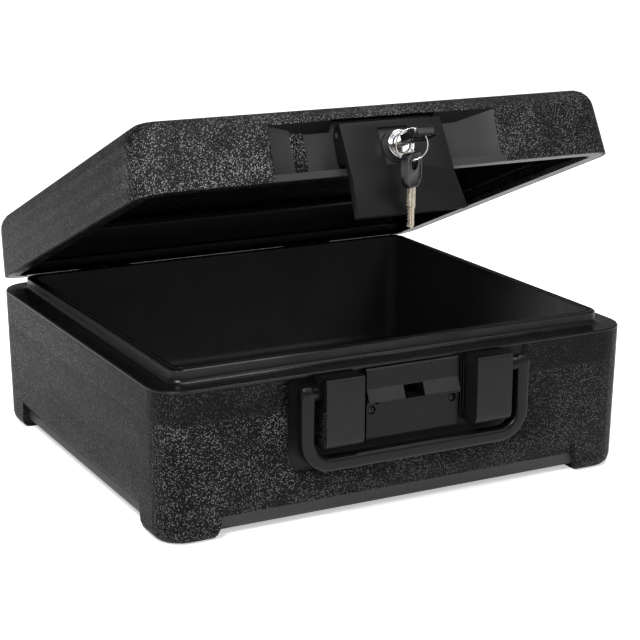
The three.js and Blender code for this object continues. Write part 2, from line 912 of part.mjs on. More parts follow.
// The sloping top wall of the recess beside the flap, for a recess grown by grow
function recessTopWedge(side, grow) {
  const rise = Math.tan(recess.topSlope);
  const floorEdge = lidTop - recess.topBelow - recess.topDrop + grow / Math.cos(recess.topSlope);
  const heightAt = (depth) => floorEdge + (recess.floorDepth - depth) * rise;
  const deep = recess.floorDepth + grow + cutOver;
  const wedge = profileYZ([
    [cutOver, heightAt(-cutOver)],
    [cutOver, lidTop + cutOver],
    [-deep, lidTop + cutOver],
    [-deep, heightAt(deep)],
  ]);
  const from = side * (flapHalf + recess.flapSide + grow);
  const to = side * (recess.rimHalf + grow + cutOver);
  return alongX(wedge, Math.min(from, to), Math.max(from, to));
}

// The recess in the lid's front in plan, grown by grow
function lidRecess(grow) {
  const out = front - cutOver;
  const sideSlope = (recess.floorDepth - recess.shoulderDepth) / (recess.shoulderHalf - recess.floorHalf);
  const shoulder = recess.shoulderHalf + grow;
  const floor = recess.floorHalf + grow * sideSlope;
  const profile = polygon([
    [-recess.rimHalf - grow, out],
    [recess.rimHalf + grow, out],
    [recess.rimHalf + grow, front],
    [shoulder, front + recess.shoulderDepth + grow],
    [floor, front + recess.floorDepth + grow],
    [-floor, front + recess.floorDepth + grow],
    [-shoulder, front + recess.shoulderDepth + grow],
    [-recess.rimHalf - grow, front],
  ]);
  const low = lidBottom + recess.bottom - grow;
  const high = lidTop - recess.topBelow + grow;
  return alongZ(profile, low, high).subtract(mirrored((side) => recessTopWedge(side, grow)));
}

function lidRoom(inset, bottom) {
  return lidTrunk(inset, bottom).subtract(lidRecess(inset));
}

function flapLug(side) {
  const half = flap.lugWidth / 2;
  const x0 = side * flap.lugAt - half;
  const back = front + recess.floorDepth + lid.wall / 2;
  const arm = box(x0, x0 + flap.lugWidth, flapPinY, back,
    flapPinZ - flap.lugRadius, flapPinZ + flap.lugRadius);
  return union(arm, rod('x', flap.lugRadius, x0, x0 + flap.lugWidth, flapPinY, flapPinZ));
}

function camSlot() {
  const slotHalf = Math.max(lock.camWidth / 2, lock.camRadius) + lock.slotSide;
  const slotTop = lockZ + lock.camLength + lock.slotOver;
  const low = lidBottom + recess.bottom + seatGap;
  const back = front + recess.floorDepth + lid.wall + cutOver;
  return box(-slotHalf, slotHalf, front, back, low, slotTop);
}

function lidShell() {
  let body = lidTrunk(0, lidBottom);
  for (const centre of Object.values(hingeCentres)) {
    body = body.add(leafPad(centre, 1));
  }
  body = body.subtract(lidRecess(0));
  let room = lidRoom(lid.wall, lidBottom - cutOver);
  for (const place of leafScrews(1)) {
    room = room.subtract(screwBoss(place, 0));
  }
  body = body.subtract(room);
  body = body.add(mirrored(flapLug));
  for (const place of leafScrews(1)) {
    body = body.subtract(screwHole(place));
  }
  body = body.subtract(camSlot());
  const bore = flap.pinRadius + seatGap;
  return body.subtract(rod('x', bore, -flapHalf, flapHalf, flapPinY, flapPinZ));
}

function liningOutline(inset, z) {
  return outline(chestWidth / 2 - inset, chestDepth / 2 - inset, lid.liningCorner, z);
}

// A straight-sided lining under the lid, from below its edge up to top
function lidLining(inset, bottom, top, edge) {
  const rows = [liningOutline(inset, bottom)];
  for (const { up, inward } of quarterRound(edge, edgeSteps).reverse()) {
    rows.push(liningOutline(inset + inward, top - up));
  }
  return loft(rows);
}

// A sloped cut round the lid's lower inside edge, clear of the fillet at the tongue's foot
function lidFootCut(bottom) {
  const inset = lidStepInset - liner.footFillet;
  return loft([
    liningOutline(inset, bottom),
    liningOutline(inset, lidBottom),
    liningOutline(lidStepInset, lidBottom + liner.footFillet),
  ]);
}

function lidLinerOutside(grow) {
  const wall = lid.linerWall + grow;
  const step = lidLining(lidStepInset - wall, lidBottom, lidBottom + lidStepHeight + wall, wall);
  const cavity = lidLining(cavityInset - wall, lidBottom, lidBottom + cavityHeight + wall, lid.cavityEdge);
  const edge = lid.wall + seatGap - grow;
  const flange = loft([lidOutline(edge, lidBottom), lidOutline(edge, lidBottom + lid.flange + grow)]);
  return union(step, cavity, flange).subtract(lidRecess(lid.wall + seatGap - grow));
}

function lidLiner() {
  const under = lidBottom - cutOver;
  let body = lidLinerOutside(0);
  body = body.subtract(lidLining(lidStepInset, under, lidBottom + lidStepHeight, lid.linerWall));
  body = body.subtract(lidFootCut(under));
  body = body.subtract(lidLining(cavityInset, under, lidBottom + cavityHeight, lid.cavityEdge));
  return body;
}

function lidFill() {
  let body = lidRoom(lid.wall + seatGap, lidBottom);
  for (const place of leafScrews(1)) {
    body = body.subtract(screwBoss(place, seatGap));
  }
  body = body.subtract(lidLinerOutside(seatGap));
  const back = front + cavityInset;
  const low = lidBottom + recess.bottom;
  body = body.subtract(box(-lock.camRoom, lock.camRoom, front, back, low, lockZ + lock.camRoom));
  const far = chestWidth;
  return body.subtract(box(-far, far, -far, far, -far, lidBottom + lid.flange + seatGap));
}

// The flap's front face as [reach, height] points from its top down
function flapFace(inward) {
  return [
    [flap.topReach - inward, flapTop],
    [flap.kinkReach - inward, flapKink],
    [flap.bottomReach - inward, flapBottom],
  ];
}

function flapReachAt(z) {
  const share = (flapTop - z) / (flapTop - flapKink);
  return flap.topReach + share * (flap.kinkReach - flap.topReach);
}

// The flap's side outline in (x, z), drawn in by inset
function flapFront(inset) {
  const top = flapTop - inset;
  const half = flapHalf - inset;
  const low = flapBottomHalf - inset;
  return polygon([
    [-low, flapBottom + inset],
    [low, flapBottom + inset],
    [half, flapKink],
    [half, top],
    [-half, top],
    [-half, flapKink],
  ]);
}

function profileYZ(points) {
  const list = points.map(([reach, z]) => new THREE.Vector2(front - reach, z));
  const shape = new THREE.Shape(list);
  return THREE.ShapeUtils.isClockWise(list) ? new THREE.Shape(list.reverse()) : shape;
}

function latchFlap() {
  const half = flapBottomHalf;
  const catchHalf = flapBottomHalf - flap.catchShort;
  const skirtBottom = lidBottom + recess.bottom + flap.skirtOverLip;
  const skirtBack = recess.floorDepth - flap.skirtOverFloor;
  const bossHalf = pocketHalf + lock.bossWall;
  const seatRadius = lock.flangeRadius + lock.seatWall;
  const whole = alongX(profileYZ([
    ...flapFace(0),
    [catchReach + flap.catchStep, flapBottom],
    [flap.ledgeClear, skirtBottom - flap.plate],
    [flap.ledgeClear, skirtBottom],
    [-skirtBack, skirtBottom + flap.plate],
    [-skirtBack, flapPinZ],
    [-flap.pinDepth, flapTop],
  ]), -half, half);
  const outside = whole.intersect(alongY(flapFront(0), front - chestDepth, rear));
  const hollow = alongX(profileYZ([
    [flap.topReach - flap.plate, flapTop - flap.skirt],
    [flap.kinkReach - flap.plate, flapKink],
    [flap.bottomReach - flap.plate, flapBottom + flap.sill],
    [-recess.floorDepth - cutOver, flapBottom + flap.sill],
    [-recess.floorDepth - cutOver, flapTop - flap.skirt],
  ]), -half, half).intersect(alongY(flapFront(flap.skirt), front - chestDepth, rear));
  const catchBar = box(-catchHalf, catchHalf, front - flap.bottomReach + flap.plate / 2,
    front - catchReach, flapBottom, flapBottom + flap.sill);
  const bossLow = lockZ - bossHalf;
  const boss = alongX(profileYZ([
    [flapReachAt(pocketTop) - flap.plate / 2, pocketTop - flap.plate / 2],
    [flapReachAt(bossLow) - flap.plate / 2, bossLow],
    [lock.bossBack, bossLow],
    [lock.bossBack, pocketTop - flap.plate / 2],
  ]), -bossHalf, bossHalf);
  const pocket = alongX(profileYZ([
    [flapReachAt(pocketTop) - flap.pocketDepth, pocketTop],
    [flapReachAt(pocketBottom) - flap.pocketDepth, pocketBottom],
    [flapReachAt(pocketBottom) + cutOver, pocketBottom],
    [flapReachAt(pocketTop) + cutOver, pocketTop],
  ]), -pocketHalf, pocketHalf);
  const seatFront = front - lock.flangeBack + seatGap;
  const seat = rod('y', seatRadius, seatFront, front - lock.bossBack, 0, lockZ);
  const clear = rod('y', seatRadius + seatGap, front - lock.face, seatFront, 0, lockZ);
  let body = union(outside.subtract(hollow), catchBar, boss).subtract(pocket);
  body = union(body, seat).subtract(clear);
  body = body.subtract(rod('y', lock.barrelRadius + seatGap, front - lock.face, front + recess.floorDepth,
    0, lockZ));
  const bore = flap.pinRadius + seatGap;
  body = body.subtract(rod('x', bore, -half, half, flapPinY, flapPinZ));
  return body.subtract(mirrored((side) => {
    const room = flap.lugWidth / 2 + swingGap;
    const middle = side * flap.lugAt;
    return box(middle - room, middle + room, front - flap.lugNotch, front + chestDepth,
      flapPinZ, flapTop + cutOver);
  }));
}

function flapHingePin() {
  const end = flapHalf - seatGap;
  return rod('x', flap.pinRadius, -end, end, flapPinY, flapPinZ);
}

// The lock is turned about the Y axis in its own frame: y = 0 is its face, the tail at +y
function lockHousing() {
  const flange = lock.face - lock.flangeBack;
  const length = lock.face + lock.barrelBack;
  const bore = lock.plugRadius + seatGap;
  return turnedAboutY([
    [bore, lock.faceEdge],
    [bore + lock.faceEdge, 0],
    [lock.flangeRadius - lock.faceEdge, 0],
    [lock.flangeRadius, lock.faceEdge],
    [lock.flangeRadius, flange],
    [lock.barrelRadius, flange],
    [lock.barrelRadius, length],
    [bore, length],
    [bore, lock.faceEdge],
  ], faceSides);
}

function lockNut() {
  const start = lock.face - lock.bossBack + seatGap;
  const radius = lock.nutFlats / 2 / Math.cos(Math.PI / 6);
  const hexagon = new THREE.CylinderGeometry(radius, radius, lock.nutThickness, 6);
  hexagon.rotateY(Math.PI / 6).translate(0, start + lock.nutThickness / 2, 0);
  return solid(hexagon)
    .subtract(rod('y', lock.barrelRadius + seatGap, start - cutOver, start + lock.nutThickness + cutOver));
}

// Places along the plug, measured back from the lock's face
const plugEnd = lock.face + lock.barrelBack + seatGap;
const camFront = lock.face + recess.floorDepth + lid.wall + seatGap * 2;
const camBack = camFront + lock.camThickness;
const keyTip = key.bladeLength - key.standOff;

function keyway() {
  const half = key.bladeHalf + lock.keywaySide;
  const thickness = key.bladeThickness / 2 + lock.keywayFace;
  return box(-half, half, -cutOver, keyTip + seatGap * 2, -thickness, thickness);
}

function camScrewHole(start) {
  return rod('y', lock.camScrewRadius + seatGap, start, camBack + cutOver, 0, 0, smallSides);
}

function lockPlug() {
  const sink = lock.plugSink;
  const core = rod('y', lock.plugRadius, sink, plugEnd);
  const tail = rod('y', lock.tailRadius, plugEnd - seatGap, camFront - seatGap);
  return union(core, tail)
    .subtract(keyway())
    .subtract(camScrewHole(plugEnd + seatGap));
}

function lockCam() {
  const half = lock.camWidth / 2;
  const arm = box(-half, half, camFront, camBack, 0, lock.camLength);
  return union(rod('y', lock.camRadius, camFront, camBack), arm).subtract(camScrewHole(camFront - cutOver));
}

function camScrew() {
  const seat = camBack + seatGap;
  const start = plugEnd + seatGap * 2;
  return union(
    rod('y', lock.camScrewRadius, start, seat + lock.camScrewHeadHeight / 2, 0, 0, smallSides),
    rod('y', lock.camScrewHead, seat, seat + lock.camScrewHeadHeight, 0, 0, smallSides),
  );
}

// A key lies flat in (x, y) with its head's near end at y = 0, the head towards -y
function keyHead() {
  const half = key.headHalf;
  const far = -key.headLength;
  const corner = key.headCorner;
  const head = new THREE.Shape();
  head.moveTo(-key.neckHalf, 0);
  head.lineTo(-half, -key.neckLength);
  head.lineTo(-half, far + corner);
  head.absarc(-half + corner, far + corner, corner, Math.PI, Math.PI * 1.5, false);
  head.absarc(half - corner, far + corner, corner, Math.PI * 1.5, Math.PI * 2, false);
  head.lineTo(half, -key.neckLength);
  head.lineTo(key.neckHalf, 0);
  const thickness = key.headThickness / 2;
  const body = alongZ(head, -thickness, thickness);
  const socketHalf = key.bladeHalf + seatGap;
  const socketThickness = key.bladeThickness / 2 + seatGap;
  const low = -key.socket - seatGap;
  const socket = box(-socketHalf, socketHalf, low, cutOver, -socketThickness, socketThickness);
  return body
    .subtract(rod('z', key.holeRadius, -cutOver, cutOver, 0, far + key.holeFromEnd))
    .subtract(socket);
}

function keyBlade() {
  const back = -key.socket;
  const outlinePoints = [
    [-key.bladeHalf, back],
    [key.bladeHalf, back],
    [key.bladeHalf, key.stepAt],
    [key.stepHalf, key.stepAt + key.tip],
    [key.stepHalf, key.bladeLength - key.tip],
    [key.stepHalf - key.tip, key.bladeLength],
    [-key.stepHalf + key.tip, key.bladeLength],
    [-key.stepHalf, key.bladeLength - key.tip],
  ];
  const teeth = Math.floor((key.bladeLength - key.tip * 3) / key.toothPitch);
  for (let tooth = 0; tooth < teeth; tooth += 1) {
    const y = key.bladeLength - key.tip * 2 - tooth * key.toothPitch;
    const edge = y < key.stepAt ? key.bladeHalf : key.stepHalf;
    outlinePoints.push([-edge, y]);
    outlinePoints.push([-edge + key.toothDepth, y - key.toothPitch / 2]);
  }
  const half = key.bladeThickness / 2;
  return alongZ(polygon(outlinePoints), -half, half);
}

function keyRing() {
  const torus = new THREE.TorusGeometry(keyring.radius, keyring.wire, wireSides, ringSteps);
  return solid(torus.rotateX(Math.PI / 2));
}

// Assembly
const chest = new THREE.Group();

chest.add(
  piece('base_shell', baseShell(), texturedResin),
  piece('base_fill', baseFill(), mineralFill),
  piece('base_liner', baseLiner(), smoothResin),
  piece('rim_seal', rimSeal(), rubber),
  piece('keeper_plate', keeperPlate(), smoothResin),
  piece('left_keeper_screw', keeperScrew(-1), steel),
  piece('right_keeper_screw', keeperScrew(1), steel),
  piece('handle_bail', handleBail(), smoothResin),
  piece('left_handle_pin', handlePin(-1), steel),
  piece('right_handle_pin', handlePin(1), steel),
  ...leafScrewMeshes('base_hinge_screw', -1),
);

// The lid and all that it carries are modelled shut; this frame turns them open about the hinge
const lidTurn = new THREE.Group();
lidTurn.position.set(0, hingeAxisY, hingeAxisZ);
lidTurn.rotation.x = -lidOpenAngle;
const lidFrame = new THREE.Group();
lidFrame.position.set(0, -hingeAxisY, -hingeAxisZ);
lidTurn.add(lidFrame);
chest.add(lidTurn);

lidFrame.add(
  piece('lid_shell', lidShell(), texturedResin),
  piece('lid_fill', lidFill(), mineralFill),
  piece('lid_liner', lidLiner(), smoothResin),
  ...leafScrewMeshes('lid_hinge_screw', 1),
  piece('latch_flap', latchFlap(), smoothResin),
  piece('flap_hinge_pin', flapHingePin(), steel),
);

for (const [side, centre] of Object.entries(hingeCentres)) {
  chest.add(
    piece(`${side}_hinge_base_leaf`, hingeLeaf(centre, -1), steel),
    piece(`${side}_hinge_pin`, hingePin(centre), steel),
  );
  lidFrame.add(piece(`${side}_hinge_lid_leaf`, hingeLeaf(centre, 1), steel));
}

const lockFrame = new THREE.Group();
lockFrame.position.set(0, front - lock.face, lockZ);
lidFrame.add(lockFrame);
lockFrame.add(
  piece('lock_housing', lockHousing(), chrome),
  piece('lock_nut', lockNut(), steel),
  piece('lock_plug', lockPlug(), chrome),
  piece('lock_cam', lockCam(), steel),
  piece('cam_screw', camScrew(), steel),
);

const keyFrame = new THREE.Group();
keyFrame.position.set(0, -key.standOff, 0);
lockFrame.add(keyFrame);
keyFrame.add(
  piece('key_head', keyHead(), keyPlastic),
  piece('key_blade', keyBlade(), nickel),
);

// The ring hangs upright through the head's hole and round the head's left edge
const ringSupport = new THREE.Group();
const ringSeat = key.headThickness / 2 + keyring.rise;
ringSupport.position.set(-keyring.aside, -key.headLength + key.holeFromEnd, ringSeat);
ringSupport.rotation.x = lidOpenAngle;
keyFrame.add(ringSupport);
const ringFrame = new THREE.Group();
ringFrame.rotation.z = keyring.turn;
ringSupport.add(ringFrame);
const ringMesh = piece('key_ring', keyRing(), nickel);
ringMesh.position.set(0, 0, -keyring.radius + keyring.wire);
ringFrame.add(ringMesh);

// The spare key hangs from the ring's lowest point by its head's hole
const spareFrame = new THREE.Group();
spareFrame.position.set(0, 0, -keyring.radius * 2 + keyring.wire);
spareFrame.rotation.z = spareTurn;
ringFrame.add(spareFrame);
const spareTilt = new THREE.Group();
spareTilt.rotation.x = -Math.PI / 2;
spareTilt.position.set(0, 0, -keyring.spareDrop - key.headLength + key.holeFromEnd);
spareFrame.add(spareTilt);
spareTilt.add(
  piece('spare_key_head', keyHead(), keyPlastic),
  piece('spare_key_blade', keyBlade(), nickel),
);

// The origin is under the middle of the chest's box as it stands
chest.updateMatrixWorld(true);
const extent = new THREE.Box3().setFromObject(chest, true);
chest.position.set(-(extent.min.x + extent.max.x) / 2, -(extent.min.y + extent.max.y) / 2, -extent.min.z);
chest.updateMatrixWorld(true);

export default chest;
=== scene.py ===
import logging
import math
from dataclasses import dataclass
from enum import Enum
from functools import cached_property
from typing import Callable, Optional, Sequence, Union

import bpy
from mathutils import Matrix, Vector


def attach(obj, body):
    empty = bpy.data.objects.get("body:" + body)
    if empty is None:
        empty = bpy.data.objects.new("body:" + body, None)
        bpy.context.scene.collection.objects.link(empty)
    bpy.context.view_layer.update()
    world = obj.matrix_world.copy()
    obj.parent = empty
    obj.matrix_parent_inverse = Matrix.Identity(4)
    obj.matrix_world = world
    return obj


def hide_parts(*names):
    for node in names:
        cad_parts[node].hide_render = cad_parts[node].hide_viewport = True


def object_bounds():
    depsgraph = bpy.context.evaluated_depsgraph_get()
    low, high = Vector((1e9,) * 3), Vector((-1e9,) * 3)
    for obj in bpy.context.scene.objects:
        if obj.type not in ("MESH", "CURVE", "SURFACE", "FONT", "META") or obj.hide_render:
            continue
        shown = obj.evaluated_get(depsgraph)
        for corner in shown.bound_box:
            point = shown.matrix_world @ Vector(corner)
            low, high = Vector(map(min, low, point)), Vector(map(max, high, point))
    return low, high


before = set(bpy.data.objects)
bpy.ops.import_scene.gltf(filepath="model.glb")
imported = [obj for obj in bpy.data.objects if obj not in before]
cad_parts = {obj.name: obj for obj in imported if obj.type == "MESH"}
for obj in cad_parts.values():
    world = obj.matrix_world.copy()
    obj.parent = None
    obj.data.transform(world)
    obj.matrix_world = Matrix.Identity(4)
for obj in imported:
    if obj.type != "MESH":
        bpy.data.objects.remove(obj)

CAD_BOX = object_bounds()
LOG = logging.getLogger("chest")
MM = 0.001
SIDES = (("left", -1), ("right", 1))
WHITE = (1.0, 1.0, 1.0, 1.0)
RESIN_IOR = 1.49
# A face looks along an axis when at least this share of its normal does
ALONG = 0.9
Piece = bpy.types.Object
Socket = bpy.types.NodeSocket
Point = tuple[float, float, float]
Test = Callable[[Vector, Vector], bool]
Choice = Callable[[Point, Vector], "Finish"]
Link = Union[Socket, float, tuple]
Links = dict[Union[str, int], Link]


def linear(code: str) -> tuple[float, float, float, float]:
    """Turns an sRGB hex colour to linear light.

    Args:
        code: The colour as six hex digits after a number sign.

    Returns:
        Red, green, blue and an alpha of 1.
    """
    shares = [int(code[i : i + 2], 16) / 255 for i in (1, 3, 5)]
    turned = [s / 12.92 if s <= 0.04045 else ((s + 0.055) / 1.055) ** 2.4 for s in shares]
    return (turned[0], turned[1], turned[2], 1.0)


def add_node(tree: bpy.types.NodeTree, kind: str, links: Optional[Links] = None, **settings: object) -> bpy.types.Node:
    """Adds one shader node, sets it and joins it.

    Args:
        tree: The material's node tree.
        kind: The node's type name.
        links: Input name or number to an output socket, or to a plain value.
        settings: The node's own settings.

    Returns:
        The new node.
    """
    made = tree.nodes.new(kind)
    for name, value in settings.items():
        setattr(made, name, value)
    for socket, value in (links or {}).items():
        if isinstance(value, Socket):
            tree.links.new(value, made.inputs[socket])
        else:
            made.inputs[socket].default_value = value
    return made


def shift(x: float, y: float, z: float) -> Matrix:
    """A move in millimetres."""
    return Matrix.Translation(Vector((x, y, z)) * MM)


def turn(degrees: float, axis: str) -> Matrix:
    """A turn about one axis."""
    return Matrix.Rotation(math.radians(degrees), 4, axis)


class Body(Enum):
    """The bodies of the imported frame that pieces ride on."""

    BASE = "base"
    HANDLE = "handle"
    LID = "lid"
    FLAP = "flap"
    PLUG = "plug"
    KEY = "key"
    RING = "ring"
    SPARE_KEY = "spare_key"


class Pick(Enum):
    """What an edit-mode selection takes."""

    VERT = "VERT"
    EDGE = "EDGE"
    FACE = "FACE"


class Bench:
    """The bench on which pieces are modelled with Blender's own tools."""

    @staticmethod
    def clear() -> None:
        """Leaves edit mode and deselects all."""
        if bpy.context.object is not None and bpy.context.object.mode != "OBJECT":
            bpy.ops.object.mode_set(mode="OBJECT")
        bpy.ops.object.select_all(action="DESELECT")

    @staticmethod
    def hold(piece: Piece) -> None:
        """Makes a piece the one selected and active object."""
        Bench.clear()
        piece.select_set(True)
        bpy.context.view_layer.objects.active = piece

    @staticmethod
    def take(name: str) -> Piece:
        """Names the primitive that was just added and drops its place into its mesh."""
        piece = bpy.context.object
        piece.name = name
        piece.data.name = name
        bpy.ops.object.transform_apply(location=True, rotation=True, scale=True)
        return piece

    @staticmethod
    def block(name: str, low: Point, high: Point) -> Piece:
        """Adds a box between two corners.

        Args:
            name: The piece's name.
            low: Its lowest corner in millimetres.
            high: Its highest corner in millimetres.

        Returns:
            The new piece.
        """
        Bench.clear()
        ends = [(a * MM, b * MM) for a, b in zip(low, high)]
        centre, size = [(a + b) / 2 for a, b in ends], [b - a for a, b in ends]
        bpy.ops.mesh.primitive_cube_add(size=1, location=centre, scale=size)
        return Bench.take(name)

    @staticmethod
    def edit(piece: Piece, kind: Pick = Pick.FACE, test: Optional[Test] = None) -> int:
        """Enters edit mode with what passes the test selected.

        Args:
            piece: The piece to edit.
            kind: Whether corners, edges or faces are tested.
            test: Takes a place and a normal (an edge's direction) and says whether it is wanted; all where left out.

        Returns:
            How many were selected.
        """
        Bench.hold(piece)
        mesh = piece.data
        bpy.ops.object.mode_set(mode="EDIT")
        bpy.ops.mesh.select_mode(type=kind.value)
        bpy.ops.mesh.select_all(action="SELECT" if test is None else "DESELECT")
        if test is None:
            return len(mesh.polygons)
        bpy.ops.object.mode_set(mode="OBJECT")
        if kind is Pick.VERT:
            items = [(v, v.co, v.normal) for v in mesh.vertices]
        elif kind is Pick.EDGE:
            ends = [(e, mesh.vertices[e.vertices[0]].co, mesh.vertices[e.vertices[1]].co) for e in mesh.edges]
            items = [(e, (a + b) / 2, (b - a).normalized()) for e, a, b in ends]
        else:
            items = [(p, p.center, p.normal) for p in mesh.polygons]
        count = 0
        for item, place, way in items:
            if test(place, way):
                item.select = True
                count += 1
        bpy.ops.object.mode_set(mode="EDIT")
        return count

    @staticmethod
    def apply(piece: Piece, kind: str, **settings: object) -> None:
        """Adds a modifier, sets it and applies it."""
        Bench.hold(piece)
        modifier = piece.modifiers.new(kind.title(), kind)
        for name, value in settings.items():
            setattr(modifier, name, value)
        bpy.ops.object.modifier_apply(modifier=modifier.name)

    @staticmethod
    def round_edges(piece: Piece, width: float, angle: float) -> None:
        """Rounds every edge sharper than an angle in degrees, by a width in millimetres."""
        Bench.apply(piece, "BEVEL", width=width * MM, segments=2, limit_method="ANGLE", angle_limit=math.radians(angle))

    @staticmethod
    def cut(piece: Piece, tool: Piece, operation: str = "DIFFERENCE") -> None:
        """Takes a tool's shape out of a piece, or adds it with UNION, and throws the tool away."""
        Bench.apply(piece, "BOOLEAN", operation=operation, object=tool, solver="EXACT")
        bpy.data.objects.remove(tool)

    @staticmethod
    def join(name: str, pieces: Sequence[Piece]) -> Piece:
        """Joins several pieces into the first one."""
        Bench.hold(pieces[0])
        for piece in pieces[1:]:
            piece.select_set(True)
        bpy.ops.object.join()
        pieces[0].name = name
        return pieces[0]

    @staticmethod
    def twin(piece: Piece, name: str, matrix: Matrix) -> Piece:
        """Copies a piece with a mesh of its own and moves the copy's mesh."""
        copy = piece.copy()
        copy.data = piece.data.copy()
        copy.name = copy.data.name = name
        bpy.context.scene.collection.objects.link(copy)
        copy.data.transform(matrix)
        return copy

    @staticmethod
    def move(piece: Piece, matrix: Matrix) -> Piece:
        """Moves a piece into place and applies the place to its mesh."""
        Bench.hold(piece)
        piece.matrix_world = matrix
        bpy.ops.object.transform_apply(location=True, rotation=True, scale=True)
        return piece

    @staticmethod
    def pull(x: float = 0.0, y: float = 0.0, z: float = 0.0) -> None:
        """Extrudes what is selected by a move in millimetres."""
        bpy.ops.mesh.extrude_region_move(TRANSFORM_OT_translate={"value": (x * MM, y * MM, z * MM)})

    @staticmethod
    def close_up() -> None:
        """Joins corners that meet, drops loose ones, faces all outwards and leaves edit mode."""
        bpy.ops.mesh.select_all(action="SELECT")
        bpy.ops.mesh.remove_doubles(threshold=1e-6)
        bpy.ops.mesh.delete_loose(use_verts=True, use_edges=True, use_faces=False)
        bpy.ops.mesh.select_all(action="SELECT")
        bpy.ops.mesh.normals_make_consistent(inside=False)
        bpy.ops.object.mode_set(mode="OBJECT")

    @staticmethod
    def turned(name: str, section: Sequence[tuple[float, float]], steps: int = 48) -> Piece:
        """Turns a closed section round the Z axis, as on a lathe.

        Args:
            name: The piece's name.
            section: Points of the section as radius and height in millimetres.
            steps: Facets round the turn.

        Returns:
            The turned piece, standing on the origin.
        """
        Bench.clear()
        bpy.ops.mesh.primitive_circle_add(vertices=len(section), radius=MM, fill_type="NOTHING")
        piece = Bench.take(name)
        for corner, (radius, height) in zip(piece.data.vertices, section):
            corner.co = (radius * MM, 0, height * MM)
        Bench.edit(piece)
        bpy.ops.mesh.spin(steps=steps, angle=math.tau, center=(0, 0, 0), axis=(0, 0, 1))
        Bench.close_up()
        return piece

    @staticmethod
    def refit(node: str, name: str, flat: float = 0.5) -> Piece:
        """Copies a CAD node's form, joins its loose triangles and clears its flat facets into faces.

        Args:
            node: The CAD node.
            name: The new piece's name.
            flat: Faces closer than this in degrees become one.

        Returns:
            The copy, ready to be worked on.
        """
        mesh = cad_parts[node].data.copy()
        mesh.name = name
        mesh.materials.clear()
        piece = bpy.data.objects.new(name, mesh)
        bpy.context.scene.collection.objects.link(piece)
        Bench.hold(piece)
        if mesh.has_custom_normals:
            bpy.ops.mesh.customdata_custom_splitnormals_clear()
        Bench.edit(piece)
        bpy.ops.mesh.remove_doubles(threshold=2e-6)
        bpy.ops.mesh.select_all(action="SELECT")
        bpy.ops.mesh.dissolve_limited(angle_limit=math.radians(flat))
        bpy.ops.object.mode_set(mode="OBJECT")
        return piece

    @staticmethod
    def spread(piece: Piece, finishes: Sequence["Finish"], frame_of: Matrix, choose: Choice) -> None:
        """Gives each face one of several finishes.

        Args:
            piece: The piece.
            finishes: Its finishes.
            frame_of: The frame in which its faces are measured.
            choose: Takes a face's middle in millimetres and its normal and says which finish it has.
        """
        for finish in finishes:
            piece.data.materials.append(finish.material())
        back = frame_of.inverted()
        for face in piece.data.polygons:
            x, y, z = (value / MM for value in back @ face.center)
            face.material_index = finishes.index(choose((x, y, z), back.to_3x3() @ face.normal))

    @staticmethod
    def dress(piece: Piece, finish: "Finish", body: Body, slot: str, stands_for: Sequence[str] = (),
              smooth: float = 40) -> None:
        """Gives a finished piece its material and its body.

        Args:
            piece: The finished piece.
            finish: Its finish.
            body: The body that it rides on.
            slot: Not used.
            stands_for: CAD nodes that it replaces.
            smooth: Edges flatter than this in degrees shade smooth.
        """
        Bench.hold(piece)
        bpy.ops.object.shade_smooth_by_angle(angle=math.radians(smooth))
        if not piece.data.materials:
            piece.data.materials.append(finish.material())
        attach(piece, body.value)
        if stands_for:
            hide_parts(*stands_for)
        LOG.info("%s: %d faces on %s", piece.name, len(piece.data.polygons), body.value)

    @staticmethod
    def coat(node: str, finish: "Finish") -> None:
        """Gives a carried-over CAD node its material."""
        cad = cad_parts[node]
        cad.data.materials.clear()
        cad.data.materials.append(finish.material())
        LOG.info("%s: carried over", node)


